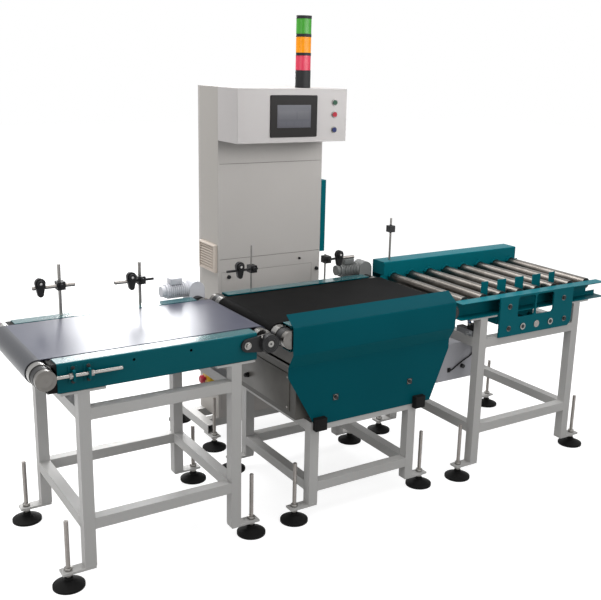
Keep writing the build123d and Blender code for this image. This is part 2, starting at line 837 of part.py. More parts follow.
# Outfeed side rails
slot_height = 27
slot_length = 60
with BuildPart() as outfeed_side_rails:
    web_middle = outfeed_web_y - channel_sheet / 2
    near_tip = outfeed_web_y + outfeed_flange
    far_tip = guard_far_y - guard_sheet
    with BuildSketch(Plane.YZ.offset(outfeed_start)):
        with BuildLine():
            FilletPolyline(
                (belt_y - near_tip, outfeed_rail_low + channel_sheet / 2),
                (belt_y - web_middle, outfeed_rail_low + channel_sheet / 2),
                (belt_y - web_middle, outfeed_rail_high - channel_sheet / 2),
                (belt_y - near_tip, outfeed_rail_high - channel_sheet / 2),
                radius=channel_bend,
            )
        trace(line_width=channel_sheet)
        with BuildLine():
            FilletPolyline(
                (belt_y + far_tip, outfeed_rail_low + channel_sheet / 2),
                (belt_y + web_middle, outfeed_rail_low + channel_sheet / 2),
                (belt_y + web_middle, outfeed_rail_high),
                radius=channel_bend,
            )
        trace(line_width=channel_sheet)
    extrude(amount=line_end - outfeed_start)
    for roller in range(roller_count):
        x = first_roller_x + roller * roller_pitch
        disc_along_y(x, roller_z, roller_pin_r + running_fit, belt_y - outfeed_web_y,
                     belt_y - outfeed_web_y + channel_sheet, mode=Mode.SUBTRACT)
        disc_along_y(x, roller_z, roller_neck_r + running_fit,
                     belt_y + outfeed_web_y - channel_sheet, belt_y + outfeed_web_y,
                     mode=Mode.SUBTRACT)
    block(line_end - slot_length, line_end, belt_y - outfeed_web_y, belt_y - web_middle + 2,
          roller_z - 35, roller_z - 35 + slot_height, mode=Mode.SUBTRACT)
save(outfeed_side_rails.part, "outfeed_side_rails")

# Rollers, closed and kept solid inside, with a pin at the near end and a sprocket at the far
roller_near = 247
roller_far = 248
sprocket_y = 262
for roller in range(roller_count):
    x = first_roller_x + roller * roller_pitch
    with BuildPart() as roller_piece:
        disc_along_y(x, roller_z, roller_r, belt_y - roller_near, belt_y + roller_far)
        disc_along_y(x, roller_z, roller_pin_r, belt_y - outfeed_web_y + 0.5,
                     belt_y - roller_near)
        disc_along_y(x, roller_z, roller_neck_r, belt_y + roller_far, belt_y + sprocket_y)
        disc_along_y(x, roller_z, sprocket_r, belt_y + sprocket_y,
                     belt_y + sprocket_y + sprocket_width)
        if roller == drive_roller:
            disc_along_y(x, roller_z, drive_shaft_r, belt_y + sprocket_y + sprocket_width,
                         belt_y + guard_far_y + gearbox_depth - 4)
    save(roller_piece.part, f"roller_{roller + 1}")

chain_gap = 0.5
chain_height = 5
with BuildPart() as roller_chain:
    with BuildSketch(Plane.XZ.offset(-(belt_y + sprocket_y))):
        with Locations((first_roller_x + roller_span / 2, roller_z)):
            SlotCenterToCenter(roller_span, 2 * (sprocket_r + chain_gap + chain_height))
            SlotCenterToCenter(roller_span, 2 * (sprocket_r + chain_gap), mode=Mode.SUBTRACT)
    extrude(amount=-sprocket_width)
save(roller_chain.part, "roller_chain")

# Chain guard: a folded cover on the far rail, with a half-round hood over each roller's end
hood_r = 32
hood_bore = 27
hood_depth = 12
guard_start = first_roller_x - guard_lead
guard_end = first_roller_x + roller_span + guard_tail
with BuildPart() as chain_guard:
    block(guard_start, guard_end, belt_y + guard_near_y, belt_y + guard_far_y,
          outfeed_rail_low, guard_top)
    fillet(chain_guard.edges().filter_by(Axis.X).group_by(Axis.Z)[-1], channel_bend)
    block(guard_start + guard_sheet, guard_end - guard_sheet, belt_y + guard_near_y + guard_sheet,
          belt_y + guard_far_y - guard_sheet, outfeed_rail_low, guard_top - guard_sheet,
          mode=Mode.SUBTRACT)
    block(guard_start, guard_end, belt_y + guard_near_y, belt_y + guard_near_y + guard_sheet,
          outfeed_rail_low, guard_bottom, mode=Mode.SUBTRACT)
    block(guard_start, guard_end, belt_y + guard_near_y, belt_y + outfeed_web_y,
          outfeed_rail_low, guard_bottom, mode=Mode.SUBTRACT)
    block(guard_start, guard_end, belt_y + guard_near_y + guard_sheet, belt_y + guard_far_y
          - guard_sheet, outfeed_rail_low, outfeed_rail_high, mode=Mode.SUBTRACT)
    for roller in range(roller_count):
        x = first_roller_x + roller * roller_pitch
        with BuildSketch(Plane.XZ.offset(-(belt_y + guard_near_y - hood_depth))):
            with Locations((x, roller_z)):
                Circle(hood_r)
                Circle(hood_bore, mode=Mode.SUBTRACT)
            with Locations((x, guard_bottom - hood_r)):
                Rectangle(2 * hood_r, 2 * hood_r, mode=Mode.SUBTRACT)
        extrude(amount=-hood_depth)
    disc_along_y(drive_roller_x, roller_z, drive_shaft_r + 2, belt_y + guard_far_y - guard_sheet,
                 belt_y + guard_far_y, mode=Mode.SUBTRACT)
save(chain_guard.part, "chain_guard")

# Side pusher: near and far plates, guide rods and a rodless air cylinder between them
plate_face = -(outfeed_web_y + outfeed_flange)
plate_x = first_roller_x + plate_x_from_roller
plate_top = 800
plate_chamfer = 20
window_low = 700
window_high = 792
windows = ((104, 208), (215, 323))
window_corner = 14
rod_offsets = (138, 308)
cylinder_offset = 223
cylinder_x = plate_x + cylinder_offset
spacer_offsets = (54, 385)
spacer_z = 755
spacer_r = 10
bush_r = 15
far_plate_y = 300
far_plate_gap = 4
far_plate_low = outfeed_high_bar + tube + far_plate_gap
with BuildPart() as pusher_plates:
    with BuildSketch(Plane.XZ.offset(-(belt_y + plate_face))):
        with BuildLine():
            Polyline(
                (plate_x, plate_bottom), (plate_x + plate_width - plate_chamfer, plate_bottom),
                (plate_x + plate_width, plate_bottom + plate_chamfer),
                (plate_x + plate_width, plate_top), (plate_x, plate_top), close=True,
            )
        make_face()
        for start, stop in windows:
            with Locations((plate_x + (start + stop) / 2, (window_low + window_high) / 2)):
                RectangleRounded(stop - start, window_high - window_low, window_corner,
                                 mode=Mode.SUBTRACT)
        with Locations([(plate_x + along, pusher_z) for along in rod_offsets]):
            Circle(pusher_rod_r, mode=Mode.SUBTRACT)
        with Locations((cylinder_x, pusher_z)):
            Circle(pusher_tube_r, mode=Mode.SUBTRACT)
    extrude(amount=pusher_plate)
    for along in spacer_offsets:
        disc_along_y(plate_x + along, spacer_z, spacer_r, belt_y + plate_face,
                     belt_y - outfeed_web_y)
    with BuildSketch(Plane.XZ.offset(-(belt_y + far_plate_y))):
        with Locations((cylinder_x, (far_plate_low + outfeed_rail_low) / 2)):
            Rectangle(2 * cylinder_offset / 2, outfeed_rail_low - far_plate_low)
        with Locations([(plate_x + along, pusher_z) for along in rod_offsets]):
            Circle(pusher_rod_r, mode=Mode.SUBTRACT)
        with Locations((cylinder_x, pusher_z)):
            Circle(pusher_tube_r, mode=Mode.SUBTRACT)
    extrude(amount=-pusher_plate)
save(pusher_plates.part, "pusher_plates")

guide_near = belt_y + plate_face - pusher_plate - 4
guide_far = belt_y + far_plate_y + pusher_plate
with BuildPart() as pusher_guides:
    for along in rod_offsets:
        disc_along_y(plate_x + along, pusher_z, pusher_rod_r, guide_near, guide_far)
        disc_along_y(plate_x + along, pusher_z, bush_r, guide_near, guide_near + 4)
    disc_along_y(cylinder_x, pusher_z, pusher_tube_r, guide_near + 2, guide_far)
save(pusher_guides.part, "pusher_guides")

# Carriage: a bearing block on the guides, and a comb plate with fingers between the rollers
block_width = 222
block_height = 48
block_depth = 60
comb_shoulder = 745
comb_lead = 12.95
comb_tail = 9.85
first_finger = 1
last_finger = 5
comb_start = first_roller_x + (first_finger + 0.5) * roller_pitch - comb_lead
comb_end = first_roller_x + (last_finger + 0.5) * roller_pitch + comb_tail
with BuildPart() as carriage_block:
    block(cylinder_x - block_width / 2, cylinder_x + block_width / 2, belt_y + comb_y,
          belt_y + comb_y + block_depth, pusher_z - block_height / 2, pusher_z + block_height / 2)
    for along in rod_offsets:
        disc_along_y(plate_x + along, pusher_z, pusher_rod_r + running_fit, belt_y + comb_y,
                     belt_y + comb_y + block_depth, mode=Mode.SUBTRACT)
    disc_along_y(cylinder_x, pusher_z, pusher_tube_r + running_fit, belt_y + comb_y,
                 belt_y + comb_y + block_depth, mode=Mode.SUBTRACT)
with BuildPart() as comb:
    with BuildSketch(Plane.XZ.offset(-(belt_y + comb_y))):
        with Locations(((comb_start + comb_end) / 2, (pusher_z + 24 + comb_shoulder) / 2)):
            Rectangle(comb_end - comb_start, comb_shoulder - pusher_z - 24)
        with Locations((cylinder_x, pusher_z)):
            Rectangle(block_width, block_height)
            Circle(pusher_tube_r + 1, mode=Mode.SUBTRACT)
        with Locations([(plate_x + along, pusher_z) for along in rod_offsets]):
            Circle(pusher_rod_r + 1, mode=Mode.SUBTRACT)
    extrude(amount=finger_sheet)
carriage_pieces = [carriage_block.part, comb.part]
for number in range(first_finger, last_finger + 1):
    middle = first_roller_x + (number + 0.5) * roller_pitch
    left = max(middle - finger_width / 2, comb_start)
    right = min(middle + finger_width / 2, comb_end)
    with BuildPart() as finger:
        block(left, right, belt_y + comb_y - finger_sheet, belt_y + comb_y,
              comb_shoulder, finger_top)
    carriage_pieces.append(finger.part)
pusher_carriage = Compound(carriage_pieces)
save(pusher_carriage, "pusher_carriage")

# Hexagon-head screws: on washers on the apron, on the pusher plate and on the bearing arms
plate_front = belt_y + plate_face - pusher_plate
low_bolt_offsets = (56, 398)
low_bolt_z = 657


def hex_head(x, z, r, y0, y1):
    """A hexagon head whose screw runs across the line."""
    with BuildSketch(Plane.XZ.offset(-y0)) as outline:
        with Locations((x, z)):
            RegularPolygon(r, 6)
    extrude(outline.sketch, amount=y0 - y1)


screw_pieces = []
for x in apron_screw_x:
    with BuildPart() as apron_screw:
        block(x - washer_side / 2, x + washer_side / 2, apron_face - washer_sheet, apron_face,
              apron_screw_z - washer_side / 2, apron_screw_z + washer_side / 2)
        hex_head(x, apron_screw_z, screw_head_r, apron_face - washer_sheet - screw_head,
                 apron_face - washer_sheet)
    screw_pieces.append(apron_screw.part)
plate_bolts = [(along, spacer_z) for along in spacer_offsets]
plate_bolts += [(along, low_bolt_z) for along in low_bolt_offsets]
for along, z in plate_bolts:
    with BuildPart() as plate_bolt:
        hex_head(plate_x + along, z, bolt_head_r, plate_front - screw_head, plate_front)
    screw_pieces.append(plate_bolt.part)
for head_x in (infeed_head_x, weigh_head_x):
    for side in (-1, 1):
        face = belt_y + side * (web_y + bearing_depth)
        tip = face + side * screw_head
        with BuildPart() as arm_bolt:
            hex_head(head_x - arm_length + arm_r, drum_z, bolt_head_r, min(face, tip),
                     max(face, tip))
        screw_pieces.append(arm_bolt.part)
panel_screws = Compound(screw_pieces)
save(panel_screws, "panel_screws")

# Air controls under the outfeed's left end: a box hung from the stand, its knob, and a valve
air_box_x0 = outfeed_leg_x[0] - 148
air_box_x1 = outfeed_leg_x[0] + 62
air_box_y0 = belt_y - 200
air_box_y1 = belt_y - 60
air_box_low = 420
air_knob_x = outfeed_leg_x[0] - 10
air_knob_z = 477
valve_y = belt_y - 200
stringer_top = outfeed_high_bar + tube
with BuildPart() as air_box:
    block(air_box_x0, air_box_x1, air_box_y0, air_box_y1, air_box_low, outfeed_high_bar)
with BuildPart() as air_knob:
    disc_along_y(air_knob_x, air_knob_z, 9, air_box_y0 - 14, air_box_y0)
with BuildPart() as valve:
    block(outfeed_leg_x[0] - 17, outfeed_leg_x[0] + 17, valve_y - 60, valve_y + 40,
          stringer_top, stringer_top + 26)
    block(outfeed_leg_x[0] - 14, outfeed_leg_x[0] + 14, valve_y - 60, valve_y - 24,
          stringer_top + 26, stringer_top + 50)
    disc_along_x(valve_y - 42, stringer_top + 13, 7, outfeed_leg_x[0] - 40,
                 outfeed_leg_x[0] - 17)
air_controls = Compound([air_box.part, air_knob.part, valve.part])
save(air_controls, "air_controls")

# Cabinet body: a folded shell, open at the back, with its seams pressed into the front
door_depth = 20
door_gap = 0.5
door_lift = 1
body_back = cabinet_back - door_depth - door_gap
seam_width = 3
seam_depth = 1
upper_seam = 1300
middle_seam = 870
hatch_top = 811
hatch_left = 16
hatch_right = 45
hatch_recess = 1
cable_hole = 60
cable_x = cabinet_left + cabinet_width / 2
hinge_r = 6
hinge_pin_r = 3
hinge_half = 30
hinge_heights = (320, 860, 1400)
hinge_x = cabinet_right + hinge_r + 1
hinge_y = body_back + door_depth / 2
catch_z = 890
catch_reach = 22
corner_r = 3
with BuildPart() as body_shell:
    block(cabinet_left, cabinet_right, cabinet_front, body_back, cabinet_bottom, cabinet_top)
    fillet(body_shell.edges().filter_by(Axis.Z).group_by(Axis.Y)[0], corner_r)
    offset(amount=-cabinet_sheet, openings=body_shell.faces().sort_by(Axis.Y)[-1])
    for z in (upper_seam, middle_seam):
        block(cabinet_left + 8, cabinet_right - 8, cabinet_front, cabinet_front + seam_depth,
              z - seam_width / 2, z + seam_width / 2, mode=Mode.SUBTRACT)
    block(cabinet_left + hatch_left, cabinet_right - hatch_right, cabinet_front,
          cabinet_front + hatch_recess, cabinet_bottom + 40, hatch_top, mode=Mode.SUBTRACT)
    block(cable_x - cable_hole / 2, cable_x + cable_hole / 2, cabinet_front,
          cabinet_front + cabinet_sheet, screen_centre_z - cable_hole / 2,
          screen_centre_z + cable_hole / 2, mode=Mode.SUBTRACT)
body_pieces = welded_sheets(body_shell.part, cabinet_left, cabinet_right, cabinet_front,
                            body_back, cabinet_bottom, cabinet_top, corner_r)
front_sheet = body_pieces.pop()
panel_joint = upper_seam + seam_width / 2
for low, high in ((cabinet_bottom, panel_joint), (panel_joint, cabinet_top)):
    with BuildPart() as front_panel:
        add(front_sheet)
        block(cabinet_left, cabinet_right, cabinet_front, body_back, low, high,
              mode=Mode.INTERSECT)
    body_pieces.append(front_panel.part)
for z in hinge_heights:
    with BuildPart() as knuckle:
        disc_along_z(hinge_x, hinge_y, hinge_r, z, z + hinge_half)
        disc_along_z(hinge_x, hinge_y, hinge_pin_r, z + hinge_half, z + 2 * hinge_half)
        block(cabinet_right, hinge_x, body_back - 14, hinge_y, z, z + hinge_half)
    body_pieces.append(knuckle.part)
with BuildPart() as catch:
    block(cabinet_left + cabinet_sheet, cabinet_left + catch_reach, body_back - 8, body_back - 4,
          catch_z - 20, catch_z + 20)
body_pieces.append(catch.part)
cabinet_body = Compound(body_pieces)
save(cabinet_body, "cabinet_body")

# Rear door: a shallow pan hinged on its right-hand edge, with a quarter-turn latch
latch_x = cabinet_left + 40
latch_r = 5
latch_head_r = 14
latch_head = 6
cam_length = 36
cam_width = 14
cam_sheet = 3
with BuildPart() as door_shell:
    block(cabinet_left, cabinet_right, body_back + door_gap, cabinet_back,
          cabinet_bottom + door_lift, cabinet_top)
    offset(amount=-cabinet_sheet, openings=door_shell.faces().sort_by(Axis.Y)[0])
    disc_along_y(latch_x, catch_z, latch_r + running_fit, cabinet_back - cabinet_sheet,
                 cabinet_back, mode=Mode.SUBTRACT)
door_pieces = welded_sheets(door_shell.part, cabinet_left, cabinet_right, body_back + door_gap,
                            cabinet_back, cabinet_bottom + door_lift, cabinet_top, cabinet_sheet)
for z in hinge_heights:
    low = z + hinge_half + touch_gap
    high = z + 2 * hinge_half
    with BuildPart() as knuckle:
        disc_along_z(hinge_x, hinge_y, hinge_r, low, high)
        block(cabinet_right, hinge_x, hinge_y - 3, hinge_y + 3, low, high)
        disc_along_z(hinge_x, hinge_y, hinge_pin_r + running_fit, low, high, mode=Mode.SUBTRACT)
    door_pieces.append(knuckle.part)
cabinet_door = Compound(door_pieces)
save(cabinet_door, "cabinet_door")

with BuildPart() as door_latch:
    disc_along_y(latch_x, catch_z, latch_r, body_back - 8 - cam_sheet - touch_gap,
                 cabinet_back + touch_gap)
    disc_along_y(latch_x, catch_z, latch_head_r, cabinet_back + touch_gap,
                 cabinet_back + touch_gap + latch_head)
    block(latch_x - cam_width / 2, latch_x + cam_width / 2,
          body_back - 8 - cam_sheet - touch_gap, body_back - 8 - touch_gap,
          catch_z - cam_width / 2, catch_z + cam_length)
save(door_latch.part, "door_latch")

# Electrics on a mounting plate: three motor drives, a power supply, a controller, terminals
plate_gap = 24
equipment_plate = 3
equipment_y = cabinet_front + plate_gap
with BuildPart() as mounting_plate:
    block(cabinet_left + 40, cabinet_right - 40, equipment_y, equipment_y + equipment_plate,
          220, 1360)
equipment_pieces = [mounting_plate.part]
for x in (cabinet_left + 60, cabinet_right - 60):
    for z in (260, 1320):
        with BuildPart() as spacer:
            disc_along_y(x, z, 6, cabinet_front + cabinet_sheet, equipment_y)
        equipment_pieces.append(spacer.part)

module_y = equipment_y + equipment_plate
for x, width, low, high, depth in (
    (-150, 90, 1000, 1180, 110), (-40, 90, 1000, 1180, 110), (70, 90, 1000, 1180, 110),
    (-130, 120, 700, 830, 90), (50, 160, 690, 840, 70), (0, 380, 470, 520, 45),
):
    with BuildPart() as module:
        middle = cabinet_left + cabinet_width / 2 + x
        block(middle - width / 2, middle + width / 2, module_y, module_y + depth, low, high)
    equipment_pieces.append(module.part)
control_equipment = Compound(equipment_pieces)
save(control_equipment, "control_equipment")

# Console box on the cabinet's front, open towards the cabinet, with its bezels
console_front = cabinet_front - console_depth
console_left = cabinet_left
console_right = console_left + console_width
screen_x = console_left + screen_from_left
button_x = console_left + button_from_left
screen_case_inset = 10
bezel_proud = 5
barrel_r = 12.5
barrel_length = 34
console_corner_r = 5
with BuildPart() as console_box:
    block(console_left, console_right, console_front, cabinet_front, console_bottom, cabinet_top)
    fillet(console_box.edges().filter_by(Axis.Z).group_by(Axis.Y)[0], console_corner_r)
    offset(amount=-console_sheet, openings=console_box.faces().sort_by(Axis.Y)[-1])
    block(screen_x - screen_case_width / 2 + screen_case_inset,
          screen_x + screen_case_width / 2 - screen_case_inset,
          console_front, console_front + console_sheet,
          screen_centre_z - screen_case_height / 2 + screen_case_inset,
          screen_centre_z + screen_case_height / 2 - screen_case_inset, mode=Mode.SUBTRACT)
    for z in button_heights.values():
        disc_along_y(button_x, z, barrel_r, console_front, console_front + console_sheet,
                     mode=Mode.SUBTRACT)
console_pieces = welded_sheets(console_box.part, console_left, console_right, console_front,
                               cabinet_front, console_bottom, cabinet_top, console_corner_r)
for z in button_heights.values():
    with BuildPart() as bezel:
        disc_along_y(button_x, z, bezel_r, console_front - bezel_proud, console_front)
        disc_along_y(button_x, z, barrel_r, console_front, console_front + barrel_length)
        disc_along_y(button_x, z, cap_r + running_fit, console_front - bezel_proud,
                     console_front + barrel_length, mode=Mode.SUBTRACT)
    console_pieces.append(bezel.part)
console = Compound(console_pieces)
save(console, "console")

cap_proud = 4
cap_length = cap_proud + bezel_proud + barrel_length - button_travel - 1
for name, z in button_heights.items():
    cap_front = console_front - bezel_proud - cap_proud
    with BuildPart() as button:
        disc_along_y(button_x, z, cap_r, cap_front, cap_front + cap_length)
    save(button.part, name)

# Touch screen: a bezel on the console's front and its case through the cut-out
screen_proud = 6
screen_recess = 1.5
screen_case_depth = 40
with BuildPart() as touch_screen:
    with BuildSketch(Plane.XZ.offset(-console_front)):
        with Locations((screen_x, screen_centre_z)):
            RectangleRounded(screen_case_width, screen_case_height, 6)
    extrude(amount=screen_proud)
    chamfer(touch_screen.faces().sort_by(Axis.Y)[0].edges(), 1.5)
    block(screen_x - screen_width / 2, screen_x + screen_width / 2, console_front - screen_proud,
          console_front - screen_proud + screen_recess, screen_centre_z - screen_height / 2,
          screen_centre_z + screen_height / 2, mode=Mode.SUBTRACT)
    block(screen_x - screen_case_width / 2 + screen_case_inset,
          screen_x + screen_case_width / 2 - screen_case_inset,
          console_front, console_front + screen_case_depth,
          screen_centre_z - screen_case_height / 2 + screen_case_inset,
          screen_centre_z + screen_case_height / 2 - screen_case_inset)
save(touch_screen.part, "touch_screen")

# Tower light: base, two bands and a cap in black, with a clear lens in each space between
tower_x = cabinet_left + tower_from_left
tower_y = cabinet_front - tower_forward
tower_base_top = 1708
red_top = 1771
amber_low = 1783
amber_top = 1850
green_low = 1863
green_top = 1927
tower_top = 1940
with BuildPart() as tower_frame:
    for low, high in (
        (cabinet_top, tower_base_top), (red_top, amber_low), (amber_top, green_low),
        (green_top, tower_top),
    ):
        disc_along_z(tower_x, tower_y, tower_r, low, high)
save(tower_frame.part, "tower_frame")

lens_r = tower_r - 1
with BuildPart() as tower_lenses:
    for low, high in ((tower_base_top, red_top), (amber_low, amber_top), (green_low, green_top)):
        disc_along_z(tower_x, tower_y, lens_r, low, high)
save(tower_lenses.part, "tower_lenses")

# Fan filter on the cabinet's left side: a frame with sloping louvres
filter_y0 = cabinet_front + 10
filter_y1 = cabinet_front + 168
filter_low = 809
filter_high = 937
filter_depth = 16
filter_rim = 9
louvre_count = 9
louvre_sheet = 2
louvre_gap = 1
filter_back = cabinet_left - 3
filter_front = cabinet_left - filter_depth + 2
with BuildPart() as fan_filter:
    block(cabinet_left - filter_depth, cabinet_left, filter_y0, filter_y1, filter_low, filter_high)
    chamfer(fan_filter.faces().sort_by(Axis.X)[0].edges(), 4)
    block(cabinet_left - filter_depth, filter_back, filter_y0 + filter_rim,
          filter_y1 - filter_rim, filter_low + filter_rim, filter_high - filter_rim,
          mode=Mode.SUBTRACT)
    louvre_step = (filter_high - filter_low - 2 * filter_rim) / louvre_count
    with BuildSketch(Plane.XZ.offset(-(filter_y0 + filter_rim))):
        for louvre in range(louvre_count):
            low = filter_low + filter_rim + louvre * louvre_step
            with BuildLine():
                Polyline(
                    (filter_back, low + louvre_step - louvre_sheet - louvre_gap),
                    (filter_back, low + louvre_step - louvre_gap),
                    (filter_front, low + louvre_sheet + louvre_gap),
                    (filter_front, low + louvre_gap),
                    close=True,
                )
            make_face()
    extrude(amount=-(filter_y1 - filter_y0 - 2 * filter_rim))
save(fan_filter.part, "fan_filter")

# Folded trunking on the cabinet's right side
trunk_width = 37
trunk_depth = 70
trunk_low = 858
trunk_high = 1203
with BuildPart() as side_trunking:
    block(cabinet_right, cabinet_right + trunk_width, cabinet_front + 14,
          cabinet_front + 14 + trunk_depth, trunk_low, trunk_high)
    fillet(side_trunking.edges().filter_by(Axis.Z).group_by(Axis.X)[-1], 3)
save(side_trunking.part, "side_trunking")

# Emergency stop on a box at the cabinet's left side
stop_box_depth = 45
stop_box_side = 70
stop_y = cabinet_front + 36
stop_z = 302
stop_ring_r = 30
stop_ring = 4
stop_stem_r = 8
stop_head_r = 20
stop_head_gap = 11
stop_head = 18
stop_face = cabinet_left - stop_box_depth
with BuildPart() as stop_box:
    block(stop_face, cabinet_left, stop_y - stop_box_side / 2, stop_y + stop_box_side / 2,
          stop_z - stop_box_side / 2, stop_z + stop_box_side / 2)
    chamfer(stop_box.edges().filter_by(Axis.X), 4)
    disc_along_x(stop_y, stop_z, stop_ring_r, stop_face - stop_ring, stop_face)
    disc_along_x(stop_y, stop_z, stop_stem_r + running_fit, stop_face - stop_ring,
                 stop_face + 30, mode=Mode.SUBTRACT)
save(stop_box.part, "stop_box")

with BuildPart() as stop_button:
    back = stop_face - stop_ring - stop_head_gap
    disc_along_x(stop_y, stop_z, stop_head_r, back - stop_head, back)
    chamfer(stop_button.faces().sort_by(Axis.X)[0].edges(), 6)
    disc_along_x(stop_y, stop_z, stop_stem_r, back, stop_face + 18)
save(stop_button.part, "stop_button")

# Sensor posts on the far rails and the chain guard, the last with a bare clamp
rail_post = belt_y + post_y
posts = (
    (infeed_tail_x + 223, rail_post, rail_high, 998, post_r),
    (infeed_tail_x + 537, rail_post, rail_high, 977, post_r),
    (weigh_tail_x + 141, rail_post, weigh_rail_high, 997, post_r - 2),
    (weigh_tail_x + 513, rail_post, weigh_rail_high, 925, post_r - 2),
    (first_roller_x + 8, belt_y + 291, guard_top, 1055, post_r - 1),
)
bare_clamp_z = 1005
with BuildPart() as sensor_posts:
    for x, y, low, high, r in posts:
        disc_along_z(x, y, r, low, high)
    x, y, low, high, r = posts[-1]
    block(x - clamp_side / 2, x + clamp_side / 2, y - clamp_side / 2, y + clamp_side / 2,
          bare_clamp_z - clamp_side / 2, bare_clamp_z + clamp_side / 2)
save(sensor_posts.part, "sensor_posts")

# Sensor arms: a cross clamp on the post, the arm through it, and the photo-eye on the arm
arm_heights = (920, 907, 900, 904)
arm_spans = ((-105, 53, -76), (-108, 51, -40), (-122, 22, -62), (-20, 143, 63))
arm_forward = 16
head_depth = 16
head_top_r = 19
head_foot_r = 11
eye_r = 9
eye_rise = 17
foot_drop = 24
eye_length = 30
for number, ((x, y, low, high, r), z, (left, right, head)) in enumerate(
    zip(posts, arm_heights, arm_spans), start=1
):
    arm_y = y - arm_forward
    with BuildPart() as clamp:
        block(x - clamp_side / 2, x + clamp_side / 2, arm_y - 11, y + 11,
              z - clamp_side / 2, z + clamp_side / 2)
        disc_along_y(x, z + 4, 7, arm_y - 26, arm_y - 11)
        disc_along_z(x, y, r + running_fit, z - clamp_side / 2, z + clamp_side / 2,
                     mode=Mode.SUBTRACT)
        disc_along_x(arm_y, z, sensor_rod_r, x - clamp_side / 2, x + clamp_side / 2, mode=Mode.SUBTRACT)
    with BuildPart() as arm:
        disc_along_x(arm_y, z, sensor_rod_r, x + left, x + right)
    with BuildPart() as eye_head:
        with BuildSketch(Plane.XZ.offset(-(arm_y - head_depth / 2))):
            with BuildLine():
                CenterArc((x + head, z + eye_rise), head_top_r, 0, 360)
                CenterArc((x + head, z - foot_drop), head_foot_r, 0, 360)
            make_hull()
        extrude(amount=-head_depth)
        disc_along_y(x + head, z + eye_rise, eye_r, arm_y - eye_length / 2, arm_y + eye_length / 2)
        disc_along_x(arm_y, z, sensor_rod_r, x + head - 2 * head_top_r, x + head + 2 * head_top_r,
                     mode=Mode.SUBTRACT)
    save(Compound([clamp.part, arm.part, eye_head.part]), f"sensor_arm_{number}")
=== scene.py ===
"""Looks of an in-line checkweigher: two belt conveyors, a roller outfeed and a control cabinet.

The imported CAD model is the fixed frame. This script paints its nodes, replaces the studs, the
lenses and the chain by detailed pieces, and adds nuts, threads, fins, knobs and the like.
Lengths are in metres, except in the zones, whose limits are in millimetres.
"""

import logging
import math
from dataclasses import dataclass
from enum import Enum
from typing import Sequence

import bmesh
import bpy
from mathutils import Matrix, Vector

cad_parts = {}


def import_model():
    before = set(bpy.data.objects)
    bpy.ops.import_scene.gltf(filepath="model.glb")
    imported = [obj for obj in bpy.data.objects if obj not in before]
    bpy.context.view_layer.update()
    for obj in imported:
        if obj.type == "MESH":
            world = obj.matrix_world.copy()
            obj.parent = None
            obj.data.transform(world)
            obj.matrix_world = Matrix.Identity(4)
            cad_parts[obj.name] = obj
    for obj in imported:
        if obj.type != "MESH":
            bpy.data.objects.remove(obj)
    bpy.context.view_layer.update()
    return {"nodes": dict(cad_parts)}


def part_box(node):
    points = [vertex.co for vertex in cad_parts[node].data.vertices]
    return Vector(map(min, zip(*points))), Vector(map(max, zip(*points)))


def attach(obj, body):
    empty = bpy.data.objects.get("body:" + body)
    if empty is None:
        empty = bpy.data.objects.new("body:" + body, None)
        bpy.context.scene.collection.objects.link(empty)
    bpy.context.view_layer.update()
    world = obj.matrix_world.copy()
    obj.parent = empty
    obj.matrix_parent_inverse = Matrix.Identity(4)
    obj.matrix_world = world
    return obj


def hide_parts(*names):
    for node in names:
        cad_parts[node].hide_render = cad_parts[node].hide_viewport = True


log = logging.getLogger("checkweigher")

Pair = tuple[float, float]
Triple = tuple[float, float, float]
Tree = bpy.types.NodeTree
Socket = bpy.types.NodeSocket

STILL_BODY = "machine"
PHOTO_WIDTH = 601
FAR_AWAY = 9000.0
EVERYWHERE = (-FAR_AWAY, FAR_AWAY)
SOCKET_KINDS = {1: "NodeSocketFloat", 3: "NodeSocketVector", 4: "NodeSocketColor"}
MIX_FIRST, MIX_SECOND, MIX_RESULT = 6, 7, 2
MERGE_GAP = 1e-6
SHARP_ANGLE = 24.0
CORNER_SHARE = 0.08


class Axis(Enum):
    """The frame's three directions, as unit vectors."""

    ALONG = (1.0, 0.0, 0.0)
    ACROSS = (0.0, 1.0, 0.0)
    UP = (0.0, 0.0, 1.0)

    def facing(self, centre: Triple | Vector) -> Matrix:
        """The transform that takes a shape made along Z to a centre and to this direction."""
        turn = Vector((0, 0, 1)).rotation_difference(Vector(self.value)).to_matrix().to_4x4()
        return Matrix.Translation(centre) @ turn


class End(Enum):
    """The operator's side of the line and the cabinet's side."""

    NEAR = -1
    FAR = 1


@dataclass(frozen=True)
class Box:
    """A node's extent at rest."""

    low: Vector
    high: Vector

    @staticmethod
    def of(node: str) -> "Box":
        """Read a node's extent from the frame."""
        return Box(*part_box(node))

    @property
    def middle(self) -> Vector:
        """The box's centre."""
        return (self.low + self.high) / 2

    @property
    def size(self) -> Vector:
        """The box's three lengths."""
        return self.high - self.low


